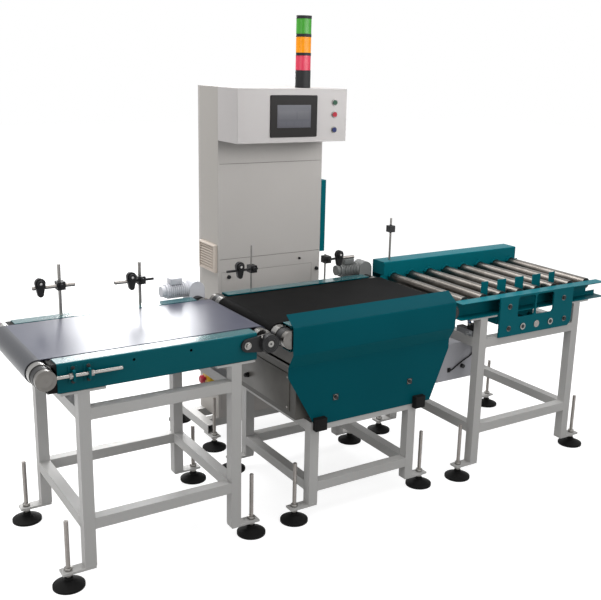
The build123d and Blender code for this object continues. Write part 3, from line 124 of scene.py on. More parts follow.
class Graph:
    """A tree of shader nodes, with short ways to add and to join them."""

    def __init__(self, tree: Tree) -> None:
        """Keep the tree."""
        self.tree = tree

    @staticmethod
    def group(name: str, inputs: dict[str, float | tuple], output: str, kind: str) -> "Graph":
        """Start a shader group.

        Args:
            name: The group's name.
            inputs: Each input's starting value: a number, a vector of three or a colour of four.
            output: The name of its one output.
            kind: The output's type.

        Returns:
            The group's graph, with its input and output nodes.
        """
        tree = bpy.data.node_groups.new(name, "ShaderNodeTree")
        for label, value in inputs.items():
            parts = len(value) if isinstance(value, tuple) else 1
            socket = tree.interface.new_socket(name=label, in_out="INPUT",
                                               socket_type=SOCKET_KINDS[parts])
            socket.default_value = value
        tree.interface.new_socket(name=output, in_out="OUTPUT", socket_type=f"NodeSocket{kind}")
        tree.nodes.new("NodeGroupInput").name = "in"
        tree.nodes.new("NodeGroupOutput").name = "out"
        return Graph(tree)

    @staticmethod
    def material(name: str) -> tuple[bpy.types.Material, "Graph", bpy.types.Node]:
        """Start a material.

        Args:
            name: The material's name.

        Returns:
            The material, its graph and its shader.
        """
        material = bpy.data.materials.new(name)
        material.use_nodes = True
        tree = material.node_tree
        return material, Graph(tree), tree.nodes["Principled BSDF"]

    @property
    def given(self) -> bpy.types.NodeOutputs:
        """What a group is given."""
        return self.tree.nodes["in"].outputs

    def give(self, result: Socket) -> Tree:
        """Link a group's result to its output, and hand over the finished group."""
        self.tree.links.new(result, self.tree.nodes["out"].inputs[0])
        return self.tree

    def feed(self, node: bpy.types.Node, inputs: dict[str | int, object]) -> None:
        """Link or set some of a node's inputs.

        Args:
            node: The node.
            inputs: For each input, the socket that it is linked to or the value that it keeps.
        """
        for label, value in inputs.items():
            if isinstance(value, Socket):
                self.tree.links.new(value, node.inputs[label])
            else:
                node.inputs[label].default_value = value

    def node(self, kind: str, inputs: dict[str | int, object] | None = None,
             **settings: object) -> bpy.types.Node:
        """Add a shader node.

        Args:
            kind: The node's type, without the words in front that all types share.
            inputs: The inputs that are linked or set.
            settings: The node's own settings.

        Returns:
            The new node.
        """
        node = self.tree.nodes.new(f"ShaderNode{kind}")
        for field, value in settings.items():
            setattr(node, field, value)
        self.feed(node, inputs or {})
        return node

    def shared(self, group: Tree, inputs: dict[str | int, object]) -> Socket:
        """Add a shared group, and read its result."""
        return self.node("Group", inputs, node_tree=group).outputs[0]

    def coordinates(self) -> Socket:
        """The place in the frame, which the Object coordinates give."""
        return self.node("TexCoord").outputs["Object"]

    def noise(self, scale: Socket | float, detail: float,
              stretch: Triple = (1, 1, 1)) -> Socket:
        """Add a noise pattern on Object coordinates.

        Args:
            scale: The pattern's scale.
            detail: How many octaves it has.
            stretch: How much finer the pattern is along each axis.

        Returns:
            The pattern's value.
        """
        mapping = self.node("Mapping", {"Vector": self.coordinates(), "Scale": stretch})
        return self.node("TexNoise", {"Vector": mapping.outputs["Vector"], "Scale": scale,
                                      "Detail": detail}).outputs["Fac"]

    def ranged(self, value: Socket, low: float, high: float) -> Socket:
        """Stretch the part of a value between two limits to nought and one."""
        limits = {"Value": value, "From Min": low, "From Max": high}
        return self.node("MapRange", limits).outputs["Result"]

    def maths(self, operation: str, first: Socket, second: Socket | float) -> Socket:
        """Combine two values by an operation of the Math node."""
        return self.node("Math", {0: first, 1: second}, operation=operation).outputs["Value"]

    def vectors(self, operation: str, first: Socket, second: Socket) -> bpy.types.NodeOutputs:
        """Combine two vectors by an operation of the Vector Math node."""
        return self.node("VectorMath", {0: first, 1: second}, operation=operation).outputs

    def blend(self, factor: Socket, first: Socket | tuple, second: Socket | tuple) -> Socket:
        """Mix two colours by a factor."""
        inputs = {"Factor": factor, MIX_FIRST: first, MIX_SECOND: second}
        return self.node("Mix", inputs, data_type="RGBA").outputs[MIX_RESULT]

    def split(self, vector: Socket) -> bpy.types.NodeOutputs:
        """A vector's three numbers."""
        return self.node("SeparateXYZ", {"Vector": vector}).outputs


class Effects:
    """Shader groups that several finishes share."""

    def __init__(self) -> None:
        """Build each group once."""
        self.mottle = self.make_mottle()
        self.smudge = self.make_smudge()
        self.relief = self.make_relief()
        self.wear = self.make_wear()
        self.brushing = self.make_brushing()
        self.zone = self.make_zone()

    @staticmethod
    def make_mottle() -> Tree:
        """Colour that drifts a little over the surface, as sprayed or moulded colour does.

        Returns:
            The group.
        """
        graph = Graph.group("colour_mottle", {
            "Colour": (0.5, 0.5, 0.5, 1), "Second Colour": (0.4, 0.4, 0.4, 1),
            "Scale": 3.0, "Amount": 0.5}, "Colour", "Color")
        cloud = graph.ranged(graph.noise(graph.given["Scale"], 4), 0.35, 0.7)
        amount = graph.maths("MULTIPLY", cloud, graph.given["Amount"])
        return graph.give(graph.blend(amount, graph.given["Colour"],
                                      graph.given["Second Colour"]))

    @staticmethod
    def make_smudge() -> Tree:
        """Roughness that varies where hands, dust and wiping have been.

        Returns:
            The group.
        """
        graph = Graph.group("roughness_smudge", {"Roughness": 0.4, "Spread": 0.1, "Scale": 6.0},
                            "Roughness", "Float")
        centred = graph.maths("SUBTRACT", graph.noise(graph.given["Scale"], 5), 0.5)
        spread = graph.maths("MULTIPLY", centred, graph.given["Spread"])
        return graph.give(graph.maths("ADD", spread, graph.given["Roughness"]))

    @staticmethod
    def make_relief() -> Tree:
        """A fine skin, such as the texture of powder coat, over edges that are a little round.

        Returns:
            The group.
        """
        graph = Graph.group("soft_edge_relief", {"Scale": 900.0, "Depth": 0.1}, "Normal",
                            "Vector")
        edge = graph.node("Bevel", {"Radius": 0.0012}, samples=4)
        skin = graph.node("Bump", {
            "Distance": 0.0004, "Height": graph.noise(graph.given["Scale"], 2),
            "Strength": graph.given["Depth"], "Normal": edge.outputs["Normal"]})
        return graph.give(skin.outputs["Normal"])

    @staticmethod
    def make_wear() -> Tree:
        """A mask of the outer edges, broken up, where paint is thin or rubbed.

        Returns:
            The group.
        """
        graph = Graph.group("edge_wear", {"Amount": 0.5}, "Mask", "Float")
        edge = graph.node("Bevel", {"Radius": 0.002}, samples=4)
        facing = graph.node("NewGeometry")
        compare = graph.vectors("DOT_PRODUCT", edge.outputs["Normal"], facing.outputs["Normal"])
        bent = graph.maths("SUBTRACT", compare["Value"], 1.0)
        sharp = graph.ranged(graph.maths("MULTIPLY", bent, -1.0), 0.01, 0.2)
        broken = graph.ranged(graph.noise(60.0, 5), 0.45, 0.62)
        mask = graph.maths("MULTIPLY", sharp, broken)
        return graph.give(graph.maths("MULTIPLY", mask, graph.given["Amount"]))

    @staticmethod
    def make_brushing() -> Tree:
        """Fine scratches that run across the line, as on a turned or ground bar.

        Returns:
            The group.
        """
        graph = Graph.group("turned_grain", {"Strength": 0.3}, "Normal", "Vector")
        bump = graph.node("Bump", {
            "Distance": 0.0002, "Height": graph.noise(40.0, 3, stretch=(2, 60, 2)),
            "Strength": graph.given["Strength"]})
        return graph.give(bump.outputs["Normal"])

    @staticmethod
    def make_zone() -> Tree:
        """A mask that is one inside a box of the frame, for a node of two finishes.

        Returns:
            The group.
        """
        graph = Graph.group("box_zone", {"Low": (0, 0, 0), "High": (1, 1, 1)}, "Mask", "Float")
        place = graph.coordinates()
        over = graph.vectors("SUBTRACT", place, graph.given["Low"])["Vector"]
        under = graph.vectors("SUBTRACT", graph.given["High"], place)["Vector"]
        least = graph.split(graph.vectors("MINIMUM", over, under)["Vector"])
        both = graph.maths("MINIMUM", least["X"], least["Y"])
        depth = graph.maths("MINIMUM", both, least["Z"])
        return graph.give(graph.maths("GREATER_THAN", depth, 0.0))


@dataclass(frozen=True)
class Finish:
    """One surface finish: its colours, its gloss and its fine relief."""

    name: str
    colour: Triple
    second: Triple
    roughness: float
    spread: float = 0.12
    metallic: float = 0.0
    coat: float = 0.0
    coat_roughness: float = 0.15
    specular: float = 0.5
    mottle_scale: float = 3.0
    mottle_amount: float = 0.5
    relief_scale: float = 900.0
    relief_depth: float = 0.12
    worn: Triple | None = None
    wear_amount: float = 0.5
    grain: float = 0.0
    glow: float = 0.0
    tint: Triple = (1.0, 1.0, 1.0)

    def build(self, effects: Effects) -> bpy.types.Material:
        """Make the material.

        Args:
            effects: The shared node groups.

        Returns:
            The finished material.
        """
        material, graph, shader = Graph.material(self.name)
        colour = graph.shared(effects.mottle, {
            "Colour": (*self.colour, 1), "Second Colour": (*self.second, 1),
            "Scale": self.mottle_scale, "Amount": self.mottle_amount})
        if self.worn:
            wear = graph.shared(effects.wear, {"Amount": self.wear_amount})
            colour = graph.blend(wear, colour, (*self.worn, 1))
        # Glow, which only the tower's lenses use, is painted light.
        if self.glow:
            graph.feed(shader, {"Emission Color": colour, "Emission Strength": self.glow})
        smudge = graph.shared(effects.smudge, {
            "Roughness": self.roughness, "Spread": self.spread})
        if self.grain:
            normal = graph.shared(effects.brushing, {"Strength": self.grain})
        else:
            normal = graph.shared(effects.relief, {
                "Scale": self.relief_scale, "Depth": self.relief_depth})
        graph.feed(shader, {
            "Base Color": colour, "Roughness": smudge, "Normal": normal,
            "Metallic": self.metallic, "Coat Weight": self.coat,
            "Coat Roughness": self.coat_roughness, "Specular IOR Level": self.specular,
            "Specular Tint": (*self.tint, 1)})
        return material


OFF_WHITE = Finish("off_white_powder_coat", (0.49, 0.485, 0.475), (0.43, 0.42, 0.405), 0.45,
                   specular=0.35, worn=(0.33, 0.32, 0.31), wear_amount=0.35)
CREAM = Finish("cream_cabinet_coat", (0.48, 0.456, 0.436), (0.44, 0.416, 0.396), 0.40,
               specular=0.35, relief_scale=1400.0, relief_depth=0.2, worn=(0.36, 0.34, 0.32),
               wear_amount=0.3)
SEAM_SHADOW = Finish("seam_shadow", (0.27, 0.255, 0.24), (0.23, 0.215, 0.20), 0.55)
CONSOLE_CREAM = Finish("console_coat", (0.49, 0.468, 0.462), (0.45, 0.428, 0.418), 0.40,
                       specular=0.35, relief_scale=1400.0, relief_depth=0.2)
TEAL = Finish("deep_teal_enamel", (0.001, 0.118, 0.146), (0.001, 0.100, 0.123), 0.38,
              specular=0.05, worn=(0.05, 0.16, 0.17), wear_amount=0.5)
GLOSSY_TEAL = Finish("rail_teal_enamel", (0.001, 0.098, 0.120), (0.001, 0.083, 0.101), 0.26,
                     specular=0.07, coat_roughness=0.14, worn=(0.05, 0.16, 0.17),
                     wear_amount=0.5)
FLANGE_TEAL = Finish("polished_rail_top", (0.004, 0.090, 0.104), (0.003, 0.078, 0.090), 0.24,
                     coat=1.0)
APRON_TEAL = Finish("apron_teal_enamel", (0.001, 0.086, 0.110), (0.001, 0.072, 0.092), 0.36,
                    specular=0.03, worn=(0.04, 0.13, 0.14), wear_amount=0.5)
# Painted shade: the apron's teal, darker on the tilted strip along its top.
APRON_LIP_SHADE = Finish("apron_lip_painted_shade", (0.001, 0.054, 0.070), (0.001, 0.046, 0.059), 0.40,
                   specular=0.02)
# Painted shade: the apron's teal on its sloping band, a little lighter and with no sheen, so that
# the band shows darker.
APRON_BAND_SHADE = Finish("apron_band_painted_shade", (0.001, 0.100, 0.124), (0.001, 0.086, 0.107), 0.5,
                    specular=0.0)
# Painted shade: the cabinet's cream, darker on its left side, where less light falls.
CREAM_SIDE_SHADE = Finish("cream_side_painted_shade", (0.41, 0.388, 0.362), (0.375, 0.354, 0.330), 0.40)
HOUSING_GREY = Finish("housing_grey_enamel", (0.105, 0.100, 0.090), (0.075, 0.072, 0.064), 0.4,
                      specular=0.2, mottle_scale=7.0, mottle_amount=0.8,
                      worn=(0.2, 0.2, 0.19), wear_amount=0.4)
BRIGHT_STEEL = Finish("turned_steel", (0.30, 0.295, 0.285), (0.19, 0.185, 0.175), 0.22,
                      metallic=1.0, mottle_scale=20.0, grain=0.35)
HUB_STEEL = Finish("hub_steel", (0.17, 0.162, 0.152), (0.10, 0.095, 0.088), 0.30, metallic=1.0,
                   mottle_scale=30.0, grain=0.4)
ZINC = Finish("zinc_plate", (0.30, 0.29, 0.275), (0.20, 0.19, 0.18), 0.32, metallic=1.0,
              mottle_scale=40.0)
STUD_STEEL = Finish("dull_stud_steel", (0.30, 0.28, 0.265), (0.20, 0.185, 0.17), 0.42,
                    metallic=1.0, mottle_scale=40.0)
ROLLER_STEEL = Finish("roller_tube_steel", (0.175, 0.160, 0.146), (0.105, 0.094, 0.084), 0.30,
                      metallic=1.0, mottle_scale=14.0, mottle_amount=0.8, grain=0.25)
ALUMINIUM = Finish("cast_aluminium", (0.42, 0.43, 0.44), (0.33, 0.34, 0.35), 0.40, metallic=1.0,
                   mottle_scale=30.0, relief_scale=1200.0, relief_depth=0.3)
MOTOR_GREY = Finish("motor_pale_grey", (0.60, 0.605, 0.64), (0.50, 0.505, 0.535), 0.46,
                    specular=0.35, mottle_scale=12.0, mottle_amount=0.8)
SHADED_MOTOR = Finish("motor_mid_grey", (0.17, 0.175, 0.172), (0.12, 0.125, 0.122), 0.46,
                      specular=0.3, mottle_scale=12.0, mottle_amount=0.8)
BLACK_CASTING = Finish("black_casting", (0.014, 0.014, 0.015), (0.022, 0.022, 0.023), 0.42,
                       specular=0.25, relief_scale=700.0, relief_depth=0.4,
                       worn=(0.12, 0.12, 0.12))
BLACK_PLASTIC = Finish("black_moulding", (0.012, 0.012, 0.013), (0.018, 0.018, 0.019), 0.45,
                       specular=0.22, relief_scale=1600.0, relief_depth=0.25)
BLACK_RUBBER = Finish("black_rubber", (0.008, 0.008, 0.008), (0.013, 0.0125, 0.012), 0.62,
                      specular=0.09, relief_scale=500.0, relief_depth=0.3, mottle_scale=25.0)
PANEL_GREY = Finish("panel_frame_grey", (0.014, 0.0125, 0.012), (0.017, 0.0155, 0.015), 0.42,
                    specular=0.15)
# Painted highlight: the photo-eyes' glass, near white in place of the bright spot that light
# makes on each lens.
EYE_GLASS_HIGHLIGHT = Finish("eye_glass_painted_highlight", (0.78, 0.76, 0.74), (0.62, 0.60, 0.58), 0.08, coat=0.8,
                   coat_roughness=0.03)
GASKET = Finish("gasket_rubber", (0.020, 0.020, 0.021), (0.028, 0.028, 0.029), 0.7, specular=0.1,
                relief_scale=400.0, relief_depth=0.3)
DUCT_GREY = Finish("wiring_duct_grey", (0.30, 0.31, 0.32), (0.25, 0.26, 0.27), 0.5, specular=0.3)
WELD_BEAD = Finish("painted_weld", (0.47, 0.465, 0.455), (0.40, 0.39, 0.375), 0.42, specular=0.4)
HOUSING_EDGE = Finish("housing_edge_enamel", (0.16, 0.152, 0.138), (0.11, 0.105, 0.095), 0.4,
                      specular=0.2, mottle_scale=9.0, mottle_amount=0.8)
BEIGE = Finish("beige_moulding", (0.60, 0.53, 0.465), (0.54, 0.47, 0.41), 0.5, specular=0.3)
BOX_GREY = Finish("air_box_grey", (0.44, 0.44, 0.47), (0.38, 0.38, 0.41), 0.45, specular=0.3)
YELLOW = Finish("yellow_moulding", (0.62, 0.40, 0.02), (0.55, 0.34, 0.02), 0.4)
RED_CAP = Finish("red_cap", (0.38, 0.012, 0.030), (0.30, 0.010, 0.024), 0.30, specular=0.3)
GREEN_CAP = Finish("green_cap", (0.006, 0.060, 0.028), (0.006, 0.048, 0.023), 0.30, specular=0.3)
BLUE_CAP = Finish("blue_cap", (0.012, 0.022, 0.105), (0.011, 0.019, 0.088), 0.30, specular=0.3)
FITTING_BLUE = Finish("fitting_blue", (0.012, 0.09, 0.25), (0.01, 0.07, 0.2), 0.35)
SCREEN_BLACK = Finish("display_window", (0.010, 0.012, 0.016), (0.014, 0.017, 0.022), 0.15,
                      coat=0.5)
MODULE_GREY = Finish("drive_case_grey", (0.055, 0.056, 0.060), (0.04, 0.041, 0.045), 0.5)
MODULE_PALE = Finish("controller_case_grey", (0.36, 0.37, 0.38), (0.30, 0.31, 0.32), 0.5)
TERMINAL = Finish("terminal_grey_green", (0.30, 0.33, 0.26), (0.22, 0.26, 0.18), 0.5,
                  mottle_scale=120.0)
GALVANISED = Finish("galvanised_sheet", (0.40, 0.41, 0.42), (0.27, 0.28, 0.29), 0.45,
                    metallic=1.0, mottle_scale=18.0, mottle_amount=0.9)
# The lenses' glow is painted light: light through the coloured lenses, though the scene has no
# lamp in the tower.
RED_LENS = Finish("red_lens", (0.56, 0.036, 0.080), (0.48, 0.022, 0.052), 0.2, specular=0.3,
                  glow=0.26)
AMBER_LENS = Finish("amber_lens", (0.76, 0.262, 0.001), (0.67, 0.215, 0.001), 0.2, specular=0.2,
                    glow=0.28)
GREEN_LENS = Finish("green_lens", (0.046, 0.295, 0.022), (0.032, 0.235, 0.018), 0.2, specular=0.3,
                    glow=0.26)
INFEED_BELT = Finish("infeed_belt_skin", (0.040, 0.043, 0.068), (0.050, 0.053, 0.080), 0.31,
                     spread=0.08, specular=0.55, mottle_scale=5.0, relief_scale=1100.0,
                     relief_depth=0.06, tint=(0.86, 0.9, 1.0))
# Painted shade: the infeed belt, dark and with little sheen where it wraps round the tail drum.
WRAPPED_BELT_SHADE = Finish("infeed_belt_wrap_painted_shade", (0.012, 0.013, 0.017), (0.017, 0.018, 0.023), 0.30,
                      specular=0.08)
WEIGH_BELT = Finish("weigh_belt_skin", (0.006, 0.006, 0.006), (0.009, 0.009, 0.009), 0.6,
                    spread=0.1, specular=0.02, mottle_scale=5.0, relief_scale=1100.0,
                    relief_depth=0.1)


@dataclass(frozen=True)
class Zone:
    """A box of the frame, in millimetres, whose inside takes another finish."""

    finish: Finish
    x: Pair = EVERYWHERE
    y: Pair = EVERYWHERE
    z: Pair = EVERYWHERE

    def mask(self, graph: Graph, effects: Effects) -> Socket:
        """A mask that is one inside the box."""
        low, high = (tuple(v / 1000 for v in side) for side in zip(self.x, self.y, self.z))
        return graph.shared(effects.zone, {"Low": low, "High": high})


class Paintshop:
    """Builds each finish once and hands it out."""

    LEVELS = {"Roughness": "roughness", "Metallic": "metallic", "Coat Weight": "coat"}

    def __init__(self) -> None:
        """Make the shared effects."""
        self.effects = Effects()
        self.made: dict[str, bpy.types.Material] = {}

    def get(self, finish: Finish) -> bpy.types.Material:
        """Give the material of a finish, built at its first use.

        Args:
            finish: The finish.

        Returns:
            Its material.
        """
        if finish.name not in self.made:
            self.made[finish.name] = finish.build(self.effects)
        return self.made[finish.name]

    def dress(self, node: bpy.types.Object, material: bpy.types.Material) -> None:
        """Give a CAD node its material and smooth its round faces.

        Args:
            node: The CAD node's object.
            material: What all of it is finished in.
        """
        node.data.materials.clear()
        node.data.materials.append(material)
        if "custom_normal" in node.data.attributes:
            node.data.attributes.remove(node.data.attributes["custom_normal"])
        node.data.shade_smooth()
        weld = node.modifiers.new("weld", "WELD")
        weld.merge_threshold = MERGE_GAP
        split = node.modifiers.new("sharp_edges", "EDGE_SPLIT")
        split.split_angle = math.radians(SHARP_ANGLE)

    def zoned(self, name: str, base: Finish, zones: Sequence[Zone]) -> bpy.types.Material:
        """Make a material that changes from one finish to others inside stated boxes.

        Args:
            name: The material's name.
            base: The finish outside every box.
            zones: The boxes and their finishes.

        Returns:
            The finished material.
        """
        material = base.build(self.effects)
        material.name = name
        graph = Graph(material.node_tree)
        shader = graph.tree.nodes["Principled BSDF"]
        masks = [zone.mask(graph, self.effects) for zone in zones]
        colour = shader.inputs["Base Color"].links[0].from_socket
        for mask, zone in zip(masks, zones):
            colour = graph.blend(mask, colour, (*zone.finish.colour, 1))
        graph.feed(shader, {"Base Color": colour})
        for label, field in self.LEVELS.items():
            plain = shader.inputs[label]
            level = plain.links[0].from_socket if plain.links else plain.default_value
            for mask, zone in zip(masks, zones):
                change = getattr(zone.finish, field) - getattr(base, field)
                if change:
                    level = graph.maths("ADD", graph.maths("MULTIPLY", mask, change), level)
            graph.feed(shader, {label: level})
        return material


class Piece:
    """One visual piece under construction, in the frame's own place."""

    def __init__(self, shop: Paintshop) -> None:
        """Start an empty mesh."""
        self.shop = shop
        self.mesh = bmesh.new()

    def turned(self, profile: Sequence[Pair], centre: Triple | Vector, axis: Axis,
               steps: int = 32) -> None:
        """Add a profile that is spun round an axis.

        Args:
            profile: Radius and distance along the axis of each corner, in order.
            centre: Where the axis starts.
            axis: The direction of the axis.
            steps: How many facets go round.
        """
        part = bmesh.new()
        line = [part.verts.new((radius, 0.0, along)) for radius, along in profile]
        edges = [part.edges.new(pair) for pair in zip(line, line[1:])]
        bmesh.ops.spin(part, geom=line + edges, cent=(0, 0, 0), axis=(0, 0, 1),
                       angle=math.tau, steps=steps, use_merge=True)
        bmesh.ops.remove_doubles(part, verts=part.verts, dist=MERGE_GAP)
        self.take(part, axis.facing(centre))

    def hexagon(self, radius: float, length: float, centre: Triple | Vector,
                axis: Axis) -> None:
        """Add a hexagon nut or head with its corners taken off.

        Args:
            radius: From its axis to a corner.
            length: Its length along the axis.
            centre: Where the axis starts.
            axis: The direction of the axis.
        """
        part = bmesh.new()
        bmesh.ops.create_cone(part, cap_ends=True, segments=6, radius1=radius, radius2=radius,
                              depth=length, matrix=Matrix.Translation((0, 0, length / 2)))
        self.soften(part, radius * CORNER_SHARE)
        self.take(part, axis.facing(centre))

    def plate(self, centre: Triple | Vector, size: Triple, edge: float = 0.001) -> None:
        """Add a block with softened edges.

        Args:
            centre: The block's centre.
            size: Its three lengths.
            edge: How far its edges are taken off.
        """
        part = bmesh.new()
        bmesh.ops.create_cube(part, size=1.0)
        bmesh.ops.scale(part, vec=size, verts=part.verts)
        self.soften(part, edge)
        self.take(part, Matrix.Translation(centre))

    @staticmethod
    def soften(part: bmesh.types.BMesh, width: float) -> None:
        """Round every edge of a part."""
        bmesh.ops.bevel(part, geom=part.edges[:], offset=width, segments=2, affect="EDGES",
                        profile=0.5, material=-1)

    def take(self, part: bmesh.types.BMesh, place: Matrix) -> None:
        """Join a finished part to the piece, and free it.

        Args:
            part: The part, in its own space.
            place: Where the part goes.
        """
        bmesh.ops.recalc_face_normals(part, faces=part.faces)
        bmesh.ops.transform(part, matrix=place, verts=part.verts)
        held = bpy.data.meshes.new("held")
        part.to_mesh(held)
        part.free()
        self.mesh.from_mesh(held)
        bpy.data.meshes.remove(held)

    def finish(self, name: str, finish: Finish | bpy.types.Material, slot: str,
               body: str = STILL_BODY, crease: float = 32.0) -> bpy.types.Object:
        """Turn the mesh into an object that rides on a body.

        Args:
            name: The piece's name.
            finish: Its finish, or a material of its own.
            slot: The record's slot that the material stands for. It is not used.
            body: The CAD body that it moves with.
            crease: Edges sharper than this, in degrees, stay sharp.

        Returns:
            The new object.
        """
        data = bpy.data.meshes.new(name)
        self.mesh.to_mesh(data)
        self.mesh.free()
        data.shade_smooth()
        data.set_sharp_from_angle(angle=math.radians(crease))
        data.materials.append(self.shop.get(finish) if isinstance(finish, Finish) else finish)
        piece = bpy.data.objects.new(name, data)
        bpy.context.scene.collection.objects.link(piece)
        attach(piece, body)
        log.info("%s: %d faces", name, len(data.polygons))
        return piece


@dataclass
class Details:
    """Visual pieces of one sub-assembly."""

    shop: Paintshop

    def piece(self) -> Piece:
        """An empty piece, which the shop will paint."""
        return Piece(self.shop)

    def pieces(self, count: int) -> list[Piece]:
        """Several empty pieces."""
        return [self.piece() for _ in range(count)]


@dataclass
class LevellingFeet(Details):
    """Sixteen feet: rubber pads, threaded studs and lock nuts."""

    stud_radius: float = 0.008
    thread_depth: float = 0.0009
    pitch: float = 0.003
    nut_radius: float = 0.0145
    nut_height: float = 0.012
    collar_radius: float = 0.015
    collar_height: float = 0.010
    leg_plate: Pair = (0.052, 0.060)
    base_plate: Pair = (0.057, 0.065)
    base_margin: float = 0.06

    def spots(self) -> list[Vector]:
        """Find where the studs stand, from the studs' own tops.

        Returns:
            The middle of each stud's top.
        """
        top = Box.of("foot_studs").high.z
        groups: list[list[Vector]] = []
        for vertex in bpy.data.objects["foot_studs"].data.vertices:
            if vertex.co.z < top - 1e-4:
                continue
            near = [g for g in groups if (g[0] - vertex.co).length < 3 * self.stud_radius]
            if near:
                near[0].append(vertex.co.copy())
            else:
                groups.append([vertex.co.copy()])
        return [Box(Vector(map(min, *group)), Vector(map(max, *group))).middle
                for group in groups]

    def thread(self, length: float) -> list[Pair]:
        """A stud's profile, from its foot to its top.

        Args:
            length: The stud's length.

        Returns:
            Radius and height of each corner.
        """
        root = self.stud_radius - self.thread_depth
        profile = [(0.0, 0.0), (root, 0.0)]
        for turn in range(int(length / self.pitch)):
            start = turn * self.pitch
            profile += [(self.stud_radius, start + 0.35 * self.pitch),
                        (self.stud_radius, start + 0.6 * self.pitch),
                        (root, start + 0.95 * self.pitch)]
        return profile + [(root, length), (0.0, length)]

    def build(self) -> None:
        """Make the studs' threads, the nuts and the pads' collars."""
        box = Box.of("foot_studs")
        low = box.low.z
        profile = self.thread(box.high.z - low)
        base_y = Box.of("cabinet_base").low.y - self.base_margin
        r, h = self.collar_radius, self.collar_height
        studs, nuts, collars = self.pieces(3)
        for spot in self.spots():
            foot = (spot.x, spot.y, low)
            studs.turned(profile, foot, Axis.UP, steps=10)
            bottom, upper = self.base_plate if spot.y > base_y else self.leg_plate
            for height in (bottom - self.nut_height, upper):
                nuts.hexagon(self.nut_radius, self.nut_height, (spot.x, spot.y, height), Axis.UP)
            collars.turned([(0, 0), (r, 0), (r, h * 0.7), (r * 0.75, h), (0, h)], foot, Axis.UP,
                           steps=20)
        threads = studs.finish("threaded_studs", STUD_STEEL, "steel")
        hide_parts("foot_studs")
        nuts.finish("foot_nuts", ZINC, "steel")
        collars.finish("foot_collars", BLACK_RUBBER, "black_rubber")


